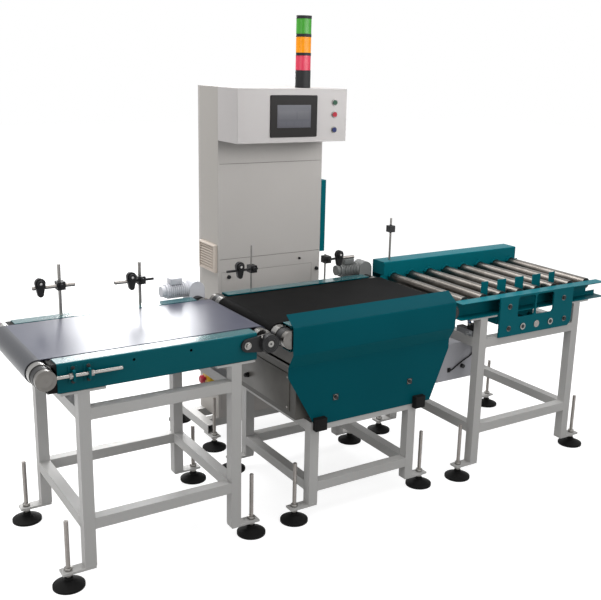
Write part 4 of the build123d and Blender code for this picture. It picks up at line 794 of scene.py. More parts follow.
@dataclass
class BeltConveyor(Details):
    """Details of one belt conveyor: its take-ups, bearings and motor."""

    name: str
    motor_paint: Finish
    lug_offsets: Pair = (0.0915, 0.1425)
    lug_thickness: float = 0.006
    lug_bolt_rise: float = 0.023
    lug_base: float = 0.004
    lug_bolt: Pair = (0.0068, 0.005)
    screw_offset: float = 0.296
    nut_radius: float = 0.0105
    nut_height: float = 0.012
    web: float = 0.281
    bearing_face: float = 0.308
    cap_radius: float = 0.034
    nipple_place: Triple = (-0.03, 0.012, 0.024)
    arm_length: float = 0.084
    arm_depth: float = 0.010
    arm_bolt: Pair = (0.0095, 0.007)
    arm_bolt_reach: float = 0.009
    hub_face: float = 0.307
    shaft_end: float = 0.310
    gearbox_from_middle: float = 0.308
    gearbox_depth: float = 0.062
    motor_rise: float = 0.060
    motor_from_shaft: float = 0.042
    motor_length: float = 0.088
    motor_radius: float = 0.029
    fin_count: int = 9
    terminal_box: Triple = (0.052, 0.044, 0.026)
    terminal_rise: float = 0.012

    @property
    def tail(self) -> Vector:
        """The middle of the tail drum."""
        return Box.of(f"{self.name}_tail_drum").middle

    @property
    def head(self) -> Vector:
        """The middle of the head drum, over its belt face and not its shaft."""
        drum = Box.of(f"{self.name}_head_drum").middle
        return Vector((drum.x, self.tail.y, drum.z))

    def take_ups(self) -> None:
        """Lock nuts on the take-up screws, and the bolts that hold their lugs."""
        tail = self.tail
        nuts, bolts = self.pieces(2)
        half = self.lug_thickness / 2
        for end in End:
            y = tail.y + end.value * self.screw_offset
            first = tail.x + self.lug_offsets[0] - half - self.nut_height
            last = tail.x + self.lug_offsets[1] + half
            for x in (first, last):
                nuts.hexagon(self.nut_radius, self.nut_height, (x, y, tail.z), Axis.ALONG)
            face = tail.y + end.value * (self.web + self.lug_base)
            start = face if end is End.FAR else face - self.lug_bolt[1]
            for offset in self.lug_offsets:
                for rise in (-self.lug_bolt_rise, self.lug_bolt_rise):
                    bolts.hexagon(*self.lug_bolt, (tail.x + offset, start, tail.z + rise),
                                  Axis.ACROSS)
        nuts.finish(f"{self.name}_take_up_nuts", ZINC, "steel")
        bolts.finish(f"{self.name}_lug_bolts", BLACK_CASTING, "black_casting")

    def bearing(self) -> None:
        """A raised ring round the near shaft end and a grease nipple on the casting."""
        head = self.head
        rings, nipples = self.pieces(2)
        y = head.y - self.bearing_face
        left, back, up = self.nipple_place
        r = self.cap_radius
        rings.turned([(0.0145, 0.0), (0.0145, -0.0022), (0.020, -0.0022), (0.0205, -0.0006),
                      (r * 0.8, -0.0006), (r * 0.84, 0.0), (0.0145, 0.0)],
                     (head.x, y, head.z), Axis.ACROSS, steps=40)
        nipples.turned([(0, 0), (0.0035, 0), (0.0035, 0.006), (0.002, 0.008), (0.0026, 0.011),
                        (0, 0.012)],
                       (head.x + left, y + back, head.z + up), Axis.UP, steps=12)
        rings.finish(f"{self.name}_bearing_rings", BLACK_CASTING, "black_casting")
        nipples.finish(f"{self.name}_grease_nipples", ZINC, "steel")

    def fixings(self) -> None:
        """The bolt on the near bearing's arm, and turned rings on the hubs' and shaft's ends."""
        head, tail = self.head, self.tail
        bolt, rings, dimple = self.pieces(3)
        spot = Vector((head.x - self.arm_length, head.y - self.web - self.arm_depth, head.z))
        bolt.turned([(0, 0), (0.014, 0), (0.014, -0.0015), (0.0115, -0.002), (0, -0.002)], spot,
                    Axis.ACROSS, steps=28)
        bolt.hexagon(*self.arm_bolt, spot - Vector((0, self.arm_bolt_reach, 0)), Axis.ACROSS)
        bolt.finish(f"{self.name}_bearing_bolt", ZINC, "steel")
        inner = [(0.004, -0.001), (0.004, 0.0006), (0.0055, 0.0006), (0.0055, -0.001)]
        outer = [(0.0215, -0.001), (0.0215, 0.0007), (0.0315, 0.0007), (0.0325, -0.001)]
        for end in End:
            centre = (tail.x, tail.y + end.value * self.hub_face, tail.z)
            for line in (inner, outer):
                rings.turned([(r, end.value * along) for r, along in line], centre,
                             Axis.ACROSS, steps=40)
        rings.finish(f"{self.name}_hub_rings", HUB_STEEL, "steel")
        dimple.turned([(0, -0.0002), (0.0035, -0.0002), (0.0045, 0.0006)],
                      (head.x, head.y - self.shaft_end, head.z), Axis.ACROSS, steps=20)
        dimple.finish(f"{self.name}_shaft_centre", BLACK_CASTING, "steel",
                      body=f"{self.name}_head_pulley")

    def motor(self) -> None:
        """Cooling fins round the motor and a terminal box on it."""
        head = self.head
        fins, box = self.pieces(2)
        y = head.y + self.gearbox_from_middle + self.gearbox_depth / 2
        z = head.z + self.motor_rise
        end = head.x - self.motor_from_shaft
        step = self.motor_length / (self.fin_count + 1)
        r = self.motor_radius
        for fin in range(1, self.fin_count + 1):
            fins.turned([(r - 0.001, 0), (r + 0.0035, 0.0004), (r + 0.0035, 0.0022),
                         (r - 0.001, 0.0026), (r - 0.001, 0)],
                        (end - fin * step, y, z), Axis.ALONG, steps=36)
        fins.finish(f"{self.name}_motor_fins", self.motor_paint, "motor_paint")
        box.plate((end - self.motor_length / 2, y, z + r + self.terminal_rise),
                  self.terminal_box, edge=0.004)
        box.finish(f"{self.name}_terminal_box", self.motor_paint, "motor_paint")

    def build(self) -> None:
        """Make every detail of this conveyor."""
        self.take_ups()
        self.bearing()
        self.fixings()
        self.motor()


@dataclass
class Hose(Details):
    """An air hose that hangs between two fittings."""

    name: str
    radius: float
    length: float
    points: tuple[Triple, ...]
    finish: Finish
    slot: str

    def build(self) -> None:
        """Make the hose."""
        data = bpy.data.curves.new(self.name, "CURVE")
        data.dimensions = "3D"
        data.bevel_depth = self.radius
        data.bevel_resolution = 4
        data.resolution_u = 10
        data.use_fill_caps = True
        line = data.splines.new("NURBS")
        line.points.add(len(self.points) - 1)
        for knot, place in zip(line.points, self.points):
            knot.co = (*place, 1.0)
        line.order_u = 3
        line.use_endpoint_u = True
        data.materials.append(self.shop.get(self.finish))
        hose = bpy.data.objects.new(self.name, data)
        bpy.context.scene.collection.objects.link(hose)
        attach(hose, STILL_BODY)
        log.info("%s: %d points", self.name, len(self.points))


@dataclass
class Apron(Details):
    """Washers round the apron's two screws."""

    screws: tuple[Pair, ...] = ((-0.160, 0.494), (0.203, 0.494))
    lip_reach: float = 0.032

    def build(self) -> None:
        """Make the washers."""
        face = Box.of("apron").low.y + self.lip_reach
        washers = self.piece()
        for x, z in self.screws:
            washers.turned([(0.0078, 0.001), (0.0078, -0.0024), (0.0108, -0.0024),
                            (0.0118, -0.0014), (0.0118, 0.001)], (x, face, z), Axis.ACROSS)
        washers.finish("apron_washers", HUB_STEEL, "steel")


@dataclass
class Outfeed(Details):
    """Details of the roller outfeed and of its pusher."""

    rollers: int = 8
    roller_radius: float = 0.025
    caps_from_middle: float = 0.247
    link_pitch: float = 0.0127
    link_thickness: float = 0.005
    link_plate: Pair = (0.0007, 0.0046)
    link_reach: Pair = (0.0019, 0.0027)
    pin_radius: float = 0.0022
    rod_inset: float = 0.015
    rod_cap: Pair = (0.0095, 0.003)
    plate_bolts: tuple[Pair, ...] = (
        (0.054, 0.755), (0.385, 0.755), (0.056, 0.657), (0.398, 0.657),
    )
    fittings: tuple[Pair, ...] = ((0.556, -0.545), (0.569, -0.522), (0.582, -0.545))
    knob_reach: float = 0.06
    hose_off_box: float = 0.005

    def end_caps(self) -> None:
        """Dark bearing housings in the rollers' near ends."""
        near = Box.of("infeed_tail_drum").middle.y - self.caps_from_middle
        r = self.roller_radius
        profile = [(0.0085, 0.0008), (0.0085, -0.0012), (r * 0.55, -0.0012),
                   (r * 0.62, -0.0004), (r * 0.92, -0.0004), (r * 0.92, 0.0008)]
        for number in range(1, self.rollers + 1):
            centre = Box.of(f"roller_{number}").middle
            cap = self.piece()
            cap.turned(profile, (centre.x, near, centre.z), Axis.ACROSS, steps=28)
            cap.finish(f"roller_cap_{number}", BLACK_PLASTIC, "black_plastic",
                       body=f"conveyor_roller_{number}")

    def chain(self) -> None:
        """Links in place of the chain's plain loop."""
        loop = Box.of("roller_chain")
        radius = loop.size.z / 2 - self.link_thickness / 2
        straight = loop.size.x - loop.size.z
        length = 2 * straight + math.tau * radius
        count = 2 * round(length / self.link_pitch / 2)
        start = Vector((loop.low.x + loop.size.z / 2, loop.middle.z))
        chain = self.piece()
        for link in range(count):
            place, angle = self.on_loop((link + 0.5) * length / count, start, straight, radius)
            part = bmesh.new()
            bmesh.ops.create_cone(part, cap_ends=True, segments=8, radius1=self.pin_radius,
                                  radius2=self.pin_radius, depth=loop.size.y,
                                  matrix=Matrix.Rotation(math.pi / 2, 4, "X"))
            for side in (-1, 1):
                shift = Matrix.Translation((0, side * self.link_reach[link % 2], 0))
                size = Matrix.Diagonal((self.link_pitch * 0.96, *self.link_plate, 1))
                bmesh.ops.create_cube(part, size=1.0, matrix=shift @ size)
            spot = Matrix.Translation((place.x, loop.middle.y, place.y))
            chain.take(part, spot @ Matrix.Rotation(-angle, 4, "Y"))
        links = chain.finish("chain_links", ZINC, "steel")
        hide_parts("roller_chain")

    @staticmethod
    def on_loop(along: float, start: Vector, straight: float,
                radius: float) -> tuple[Vector, float]:
        """A point on a loop of two straights and two half circles.

        Args:
            along: Distance travelled from the lower straight's start.
            start: The left half circle's centre, along and up.
            straight: The straights' length.
            radius: The half circles' radius.

        Returns:
            The point's place along and up, and the direction of travel there.
        """
        if along < straight:
            return start + Vector((along, -radius)), 0.0
        along -= straight
        if along < math.pi * radius:
            angle = along / radius
            return start + Vector((straight + radius * math.sin(angle),
                                   -radius * math.cos(angle))), angle
        along -= math.pi * radius
        if along < straight:
            return start + Vector((straight - along, radius)), math.pi
        angle = (along - straight) / radius
        return start + Vector((-radius * math.sin(angle),
                               radius * math.cos(angle))), math.pi + angle

    def pusher(self) -> None:
        """Washers under the plate's bolts, and the ends of the rods and of the cylinder."""
        guides, plate = Box.of("pusher_guides"), Box.of("pusher_plates")
        caps, washers, brass = self.pieces(3)
        height = guides.middle.z
        for x in (guides.low.x + self.rod_inset, guides.high.x - self.rod_inset):
            caps.hexagon(*self.rod_cap, (x, guides.low.y - self.rod_cap[1] / 2, height),
                         Axis.ACROSS)
        for along, z in self.plate_bolts:
            washers.turned([(0.005, 0), (0.0125, 0), (0.0125, -0.0012), (0.005, -0.0016)],
                           (plate.low.x + along, plate.low.y, z), Axis.ACROSS, steps=24)
        brass.turned([(0, -0.002), (0.006, -0.002), (0.0075, -0.0005), (0.0145, -0.0005),
                      (0.0155, 0.002), (0.0155, 0.006)],
                     (guides.middle.x, guides.low.y + 0.0018, height), Axis.ACROSS)
        caps.finish("guide_rod_caps", BLACK_CASTING, "steel")
        washers.finish("pusher_washers", HUB_STEEL, "steel")
        brass.finish("cylinder_end_cap", STUD_STEEL, "steel")

    def air(self) -> None:
        """Blue push-in fittings on the valve, and the hose that hangs across the box."""
        box = Box.of("air_controls")
        collars, stems, gland = self.pieces(3)
        top = box.high.z
        for x, y in self.fittings:
            stems.turned([(0, -0.004), (0.0055, -0.004), (0.0055, 0.006), (0, 0.006)],
                         (x, y, top), Axis.UP, steps=6)
            collars.turned([(0.003, 0.006), (0.0058, 0.006), (0.0058, 0.011), (0.003, 0.0125)],
                           (x, y, top), Axis.UP, steps=20)
        stems.finish("fitting_stems", ZINC, "steel")
        collars.finish("fitting_collars", FITTING_BLUE, "blue_plastic")
        front = box.low.y + self.knob_reach
        lying = front - self.hose_off_box
        Hose(self.shop, "air_hose", 0.003, 0.354, (
            (0.556, -0.545, top + 0.012), (0.558, -0.545, top + 0.029),
            (0.582, -0.545, top + 0.030), (0.599, -0.545, 0.680), (0.604, -0.540, 0.640),
            (0.606, -0.532, 0.600), (0.613, -0.522, 0.562), (0.614, front - 0.006, 0.530),
            (0.597, lying, 0.515), (0.576, lying, 0.508), (0.534, lying, 0.488),
            (0.512, lying, 0.4750), (0.502, lying, 0.4685), (0.494, lying, 0.468),
        ), BLACK_PLASTIC, "black_plastic").build()
        gland.turned([(0, 0), (0.0062, 0), (0.0062, 0.008), (0.0045, 0.011), (0.0045, 0.014),
                      (0, 0.014)], (0.482, lying, 0.468), Axis.ALONG, steps=24)
        gland.plate((0.486, front - 0.002, 0.468), (0.016, 0.004, 0.020))
        gland.finish("hose_gland", BLACK_PLASTIC, "black_plastic")

    def build(self) -> None:
        """Make every detail of the outfeed."""
        self.end_caps()
        self.chain()
        self.pusher()
        self.air()


@dataclass
class Cabinet(Details):
    """Details of the cabinet and its console."""

    turn_knobs: tuple[Triple, ...] = (
        (0.054, 0.787, 0.009), (0.526, 0.780, 0.009), (0.428, 0.840, 0.0055),
    )
    glass_size: Triple = (0.1695, 0.0008, 0.0965)
    page: tuple[float, ...] = (0.088, 0.088, 0.102, 1)
    key: tuple[float, ...] = (0.094, 0.095, 0.109, 1)
    key_row: Pair = (-0.040, -0.022)

    def knobs(self) -> None:
        """Black turn-knobs on the cabinet's front."""
        body = Box.of("cabinet_body")
        knobs = self.piece()
        for x, z, r in self.turn_knobs:
            knobs.turned([(0, 0), (r, 0), (r, -0.004), (r * 0.8, -0.010), (0, -0.0105)],
                         (body.low.x + x, body.low.y + 0.0005, z), Axis.ACROSS, steps=24)
        knobs.finish("front_knobs", BLACK_PLASTIC, "black_plastic")

    def screen(self) -> None:
        """The lit panel behind the bezel's opening."""
        panel = Box.of("touch_screen")
        middle = panel.middle
        glass = self.piece()
        glass.plate((middle.x, panel.low.y + 0.0015 - 0.0004, middle.z), self.glass_size,
                    edge=0.0002)
        glass.finish("screen_glass", self.lit_panel(middle), "bezel_plastic")

    def lit_panel(self, middle: Vector) -> bpy.types.Material:
        """A generic control page: a header, two fields and a row of keys, with no words.

        Args:
            middle: The panel's centre.

        Returns:
            The finished material.
        """
        material, graph, shader = Graph.material("lit_control_page")
        split = graph.split(graph.coordinates())
        fields = [
            ((-0.080, 0.080), (0.030, 0.043), (0.082, 0.083, 0.097, 1)),
            ((-0.076, 0.010), (-0.012, 0.022), (0.096, 0.097, 0.110, 1)),
            ((0.018, 0.076), (-0.012, 0.022), (0.099, 0.100, 0.112, 1)),
        ]
        fields += [((left, left + 0.032), self.key_row, self.key)
                   for left in (-0.076, -0.036, 0.004, 0.044)]
        colour: Socket | tuple = self.page
        for wide, tall, shade in fields:
            inside = graph.maths("MULTIPLY", self.within(graph, split["X"], middle.x, wide),
                                 self.within(graph, split["Z"], middle.z, tall))
            colour = graph.blend(inside, colour, shade)
        graph.feed(shader, {
            "Base Color": colour, "Emission Color": colour, "Emission Strength": 0.15,
            "Roughness": 0.35, "Specular IOR Level": 0.25})
        return material

    @staticmethod
    def within(graph: Graph, value: Socket, middle: float, limits: Pair) -> Socket:
        """Tell where a value lies between two limits.

        Args:
            graph: The material's nodes.
            value: The value.
            middle: Where the limits are measured from.
            limits: The lower and the upper one.

        Returns:
            One between the limits, and nought outside them.
        """
        low, high = limits
        offset = graph.maths("SUBTRACT", value, middle + (low + high) / 2)
        offset = graph.maths("ABSOLUTE", offset, 0.0)
        return graph.maths("LESS_THAN", offset, (high - low) / 2)

    def build(self) -> None:
        """Make every detail of the cabinet."""
        self.knobs()
        self.screen()


@dataclass
class Electrics(Details):
    """What shows inside the cabinet: device faces, terminals, ducts and rails."""

    plate_face: float = 0.2985
    duct_heights: tuple[float, ...] = (1.235, 0.945, 0.895, 0.615, 0.575, 0.415)
    duct_x: float = 0.037
    duct_size: Triple = (0.420, 0.048, 0.036)
    duct_slots: int = 34
    first_slot: float = -0.163
    slot_step: float = 0.01212
    slot_size: Triple = (0.006, 0.038, 0.0012)
    slot_rise: float = 0.0182
    drive_x: Triple = (-0.113, -0.003, 0.107)
    drive_face: float = 0.4085
    cover_height: float = 1.085
    cover_size: Triple = (0.078, 0.004, 0.150)
    window_height: float = 1.138
    window_size: Triple = (0.044, 0.0014, 0.018)
    top_key: float = 1.108
    key_steps: Pair = (0.018, 0.014)
    key_size: Triple = (0.011, 0.0016, 0.008)
    fin_count: int = 8
    lowest_fin: float = 1.012
    fin_step: float = 0.006
    fin_size: Triple = (0.086, 0.018, 0.0022)
    terminal_count: int = 44
    first_terminal: Triple = (-0.147, 0.3445, 0.495)
    terminal_step: float = 0.00852
    terminal_size: Triple = (0.0070, 0.005, 0.044)
    terminal_screws: Pair = (0.483, 0.507)
    screw_face: float = 0.347
    fronts: tuple[tuple[float, ...], ...] = (
        (-0.093, 0.765, 0.106, 0.112, 0.3885), (0.087, 0.765, 0.146, 0.132, 0.3685),
    )
    ports: int = 8
    hinge_x: float = 0.309
    seal_inset: float = 0.016
    stiffener_heights: Pair = (0.50, 1.22)

    def ducts(self) -> None:
        """Slotted wiring ducts with their covers, above, between and below the devices."""
        ducts = self.piece()
        for z in self.duct_heights:
            ducts.plate((self.duct_x, self.plate_face + 0.025, z), self.duct_size, edge=0.0015)
            for slot in range(self.duct_slots):
                x = self.first_slot + slot * self.slot_step
                for side in (-1, 1):
                    ducts.plate((x, self.plate_face + 0.022, z + side * self.slot_rise),
                                self.slot_size, edge=0.0003)
        ducts.finish("wiring_ducts", DUCT_GREY, "module_plastic")

    def drives(self) -> None:
        """Keypad, display and cooling slots on each motor drive."""
        covers, keys, windows = self.pieces(3)
        face = self.drive_face
        across, down = self.key_steps
        for x in self.drive_x:
            covers.plate((x, face, self.cover_height), self.cover_size, edge=0.0015)
            windows.plate((x, face + 0.0022, self.window_height), self.window_size, edge=0.0004)
            for column in (-1, 0, 1):
                for row in range(3):
                    keys.plate((x + column * across, face + 0.0024, self.top_key - row * down),
                               self.key_size, edge=0.0006)
            for fin in range(self.fin_count):
                covers.plate((x, face - 0.010, self.lowest_fin + fin * self.fin_step),
                             self.fin_size, edge=0.0004)
        covers.finish("drive_covers", MODULE_GREY, "module_plastic")
        keys.finish("drive_keys", MODULE_PALE, "module_plastic")
        windows.finish("drive_windows", SCREEN_BLACK, "bezel_plastic")

    def terminals(self) -> None:
        """A row of terminals, each with its screw, and the controller's and supply's fronts."""
        blocks, screws, fronts = self.pieces(3)
        start, face, height = self.first_terminal
        for number in range(self.terminal_count):
            x = start + number * self.terminal_step
            blocks.plate((x, face, height), self.terminal_size, edge=0.0007)
            for z in self.terminal_screws:
                screws.turned([(0, 0.0014), (0.0020, 0.0014), (0.0024, 0.0006), (0.0024, 0)],
                              (x, self.screw_face, z), Axis.ACROSS, steps=8)
        blocks.finish("terminal_row", TERMINAL, "module_plastic")
        for x, z, width, height, face in self.fronts:
            fronts.plate((x, face, z), (width, 0.003, height))
            for port in range(self.ports):
                spot = Vector((x - width * 0.38 + port * width * 0.108, face + 0.002,
                               z - height * 0.33))
                fronts.plate(spot, (width * 0.08, 0.003, height * 0.16), edge=0.0006)
                screws.turned([(0, 0.0022), (0.0018, 0.0022), (0.0022, 0.0012), (0.0022, 0)],
                              spot + Vector((0, 0.001, 0)), Axis.ACROSS, steps=8)
        fronts.finish("controller_fronts", MODULE_PALE, "module_plastic")
        screws.finish("terminal_screws", ZINC, "steel")

    def door_lining(self) -> None:
        """A rubber seal round the rear door's inside and two folded stiffeners."""
        door = Box.of("cabinet_door")
        left, right = door.low.x + self.seal_inset, self.hinge_x - self.seal_inset
        low, high = door.low.z + self.seal_inset, door.high.z - self.seal_inset
        middle = (left + right) / 2
        inside = door.high.y - 0.002
        seal, ribs = self.pieces(2)
        for x in (left, right):
            seal.plate((x, inside - 0.004, (low + high) / 2), (0.010, 0.008, high - low),
                       edge=0.0025)
        for z in (low, high):
            seal.plate((middle, inside - 0.004, z), (right - left, 0.008, 0.010), edge=0.0025)
        seal.finish("door_seal", GASKET, "black_rubber", body="rear_door")
        for z in self.stiffener_heights:
            ribs.plate((middle, inside - 0.005, z), (right - left - 0.03, 0.010, 0.034),
                       edge=0.0015)
        ribs.finish("door_stiffeners", CREAM, "cream_paint", body="rear_door")

    def build(self) -> None:
        """Make everything that shows inside the cabinet."""
        self.ducts()
        self.drives()
        self.terminals()
        self.door_lining()


@dataclass
class Welds(Details):
    """Weld beads where one stand's rungs meet its legs."""

    name: str
    legs: Pair
    sides: Pair
    bars: Pair
    tube: float = 0.040
    bead_radius: float = 0.0024
    ripples: int = 9
    sunk: float = 0.0016

    def bead(self, piece: Piece, centre: Vector, axis: Axis) -> None:
        """Add a rippled bead one tube's width long.

        Args:
            piece: The piece that takes the bead.
            centre: The bead's middle.
            axis: The direction that it runs in.
        """
        half = self.tube / 2
        step = self.tube / (2 * self.ripples)
        profile = [(0.0, -half)]
        for ripple in range(2 * self.ripples + 1):
            swell = 1.0 if ripple % 2 else 0.82
            profile.append((self.bead_radius * swell, -half + ripple * step))
        piece.turned([*profile, (0.0, half)], centre, axis, steps=8)

    def joint(self, piece: Piece, corner: Vector, along: Axis, side: int) -> None:
        """Add four beads round the end of one rung, at its leg.

        Args:
            piece: The piece that takes the beads.
            corner: The rung's centre line where it crosses the leg's middle.
            along: The rung's direction.
            side: On which side of the leg the rung starts.
        """
        half = self.tube / 2
        other = Axis.ACROSS if along is Axis.ALONG else Axis.ALONG
        face = corner + Vector(along.value) * side * half
        for end in End:
            self.bead(piece, face + Vector(Axis.UP.value) * end.value * half, other)
            self.bead(piece, face + Vector(other.value) * end.value * (half - self.sunk),
                      Axis.UP)

    def build(self) -> None:
        """Make the stand's beads."""
        beads = self.piece()
        for z in self.bars:
            height = z + self.tube / 2
            for y in self.sides:
                for x, side in zip(self.legs, (1, -1)):
                    self.joint(beads, Vector((x, y, height)), Axis.ALONG, side)
            for x in self.legs:
                for y, side in zip(self.sides, (1, -1)):
                    self.joint(beads, Vector((x, y, height)), Axis.ACROSS, side)
        beads.finish(f"{self.name}_stand_welds", WELD_BEAD, "stand_paint", crease=70)


@dataclass
class Housing(Details):
    """Details on the load cell housing's ends: a cover, its screws and two cable glands."""

    cover: Pair = (0.420, 0.150)
    screw_inset: float = 0.014
    cover_face: float = 0.003
    gland_place: Pair = (0.12, -0.03)

    def build(self) -> None:
        """Make the covers, screws and glands."""
        box = Box.of("load_cell_housing")
        middle = box.middle
        covers, screws, glands = self.pieces(3)
        width, height = self.cover
        for face, out in ((box.low.x, -1), (box.high.x, 1)):
            outside = face + out * self.cover_face
            covers.plate((face + out * 0.0012, middle.y, middle.z), (0.0036, width, height))
            for side in (-1, 1):
                for rise in (-1, 1):
                    screws.turned([(0, out * 0.0026), (0.003, out * 0.0026),
                                   (0.005, out * 0.001), (0.005, 0)],
                                  (outside, middle.y + side * (width / 2 - self.screw_inset),
                                   middle.z + rise * (height / 2 - self.screw_inset)),
                                  Axis.ALONG, steps=16)
            glands.turned([(0.0045, 0), (0.011, 0), (0.011, out * 0.007), (0.009, out * 0.008),
                           (0.009, out * 0.015), (0.006, out * 0.018), (0.0045, out * 0.018),
                           (0.0045, 0)],
                          (outside, middle.y + self.gland_place[0],
                           middle.z + self.gland_place[1]), Axis.ALONG, steps=24)
        covers.finish("housing_covers", HOUSING_EDGE, "housing_paint")
        screws.finish("housing_screws", STUD_STEEL, "steel")
        glands.finish("housing_glands", BLACK_PLASTIC, "black_plastic")


@dataclass
class TowerLight(Details):
    """Three ribbed lenses between the tower's black bands."""

    ribs: int = 44
    rib_depth: float = 0.0012
    bands: tuple[tuple[str, Finish, float, float], ...] = (
        ("red_lens", RED_LENS, 1.708, 1.771),
        ("amber_lens", AMBER_LENS, 1.783, 1.850),
        ("green_lens", GREEN_LENS, 1.863, 1.927),
    )

    def build(self) -> None:
        """Make the lenses in place of their plain cylinders."""
        lenses = Box.of("tower_lenses")
        centre = lenses.middle
        radius = lenses.size.x / 2
        share = 1 - self.rib_depth / radius
        for name, finish, low, high in self.bands:
            band = self.piece()
            bmesh.ops.create_cone(band.mesh, cap_ends=True, segments=2 * self.ribs,
                                  radius1=radius, radius2=radius, depth=high - low,
                                  matrix=Matrix.Translation((0, 0, (low + high) / 2)))
            inward = [v for v in band.mesh.verts if self.is_groove(v.co)]
            bmesh.ops.scale(band.mesh, vec=(share, share, 1), verts=inward)
            bmesh.ops.translate(band.mesh, vec=(centre.x, centre.y, 0), verts=band.mesh.verts)
            lens = band.finish(name, finish, "lens", crease=60)
            if finish is RED_LENS:
                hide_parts("tower_lenses")

    def is_groove(self, point: Vector) -> bool:
        """Whether a vertex of the ring is the bottom of a groove between two ribs."""
        return round(math.atan2(point.y, point.x) / math.tau * 2 * self.ribs) % 2 == 0


@dataclass
class Eye(Details):
    """One photo-eye's ring and lens, and the bare steel sleeves on its arm."""

    number: int
    line: str
    post_x: float
    height: float
    eye_from_post: float
    sleeves: tuple[Pair, ...] = ()
    arm_from_middle: float = 0.246
    eye_rise: float = 0.017
    eye_set_back: float = 0.015
    eye_radius: float = 0.009
    sleeve_radius: float = 0.0072
    sleeve_bore: float = 0.0051

    @property
    def clamp(self) -> Vector:
        """Where the arm crosses its post."""
        tail = Box.of(f"{self.line}_tail_drum").middle
        return Vector((tail.x + self.post_x, tail.y + self.arm_from_middle, self.height))

    def barrels(self) -> None:
        """Bare steel tubes on the arm, beside the black head and clamp."""
        if not self.sleeves:
            return
        tubes = self.piece()
        bore, r = self.sleeve_bore, self.sleeve_radius
        edge = r - 0.001
        for start, stop in self.sleeves:
            tubes.turned([(bore, start), (edge, start), (r, start + 0.001), (r, stop - 0.001),
                          (edge, stop), (bore, stop), (bore, start)],
                         self.clamp, Axis.ALONG, steps=28)
        tubes.finish(f"arm_sleeves_{self.number}", STUD_STEEL, "steel",
                     body=f"eye_arm_{self.number}")

    def head(self) -> None:
        """The black ring and the lens in it."""
        ring, lens = self.pieces(2)
        body = f"eye_arm_{self.number}"
        spot = self.clamp + Vector((self.eye_from_post, -self.eye_set_back, self.eye_rise))
        r = self.eye_radius
        ring.turned([(r * 0.62, 0.0), (r * 0.62, -0.003), (r + 0.0035, -0.003),
                     (r + 0.0042, -0.001), (r + 0.0042, 0.004), (r, 0.004), (r, 0.0),
                     (r * 0.62, 0.0)], spot, Axis.ACROSS)
        ring.finish(f"eye_ring_{self.number}", BLACK_PLASTIC, "black_plastic", body=body)
        # The lens takes the glass's painted highlight.
        lens.turned([(r * 0.62, -0.0004), (r * 0.5, -0.0016), (r * 0.25, -0.0026), (0, -0.003)],
                    spot, Axis.ACROSS, steps=24)
        lens.finish(f"eye_lens_{self.number}", EYE_GLASS_HIGHLIGHT, "lens", body=body)


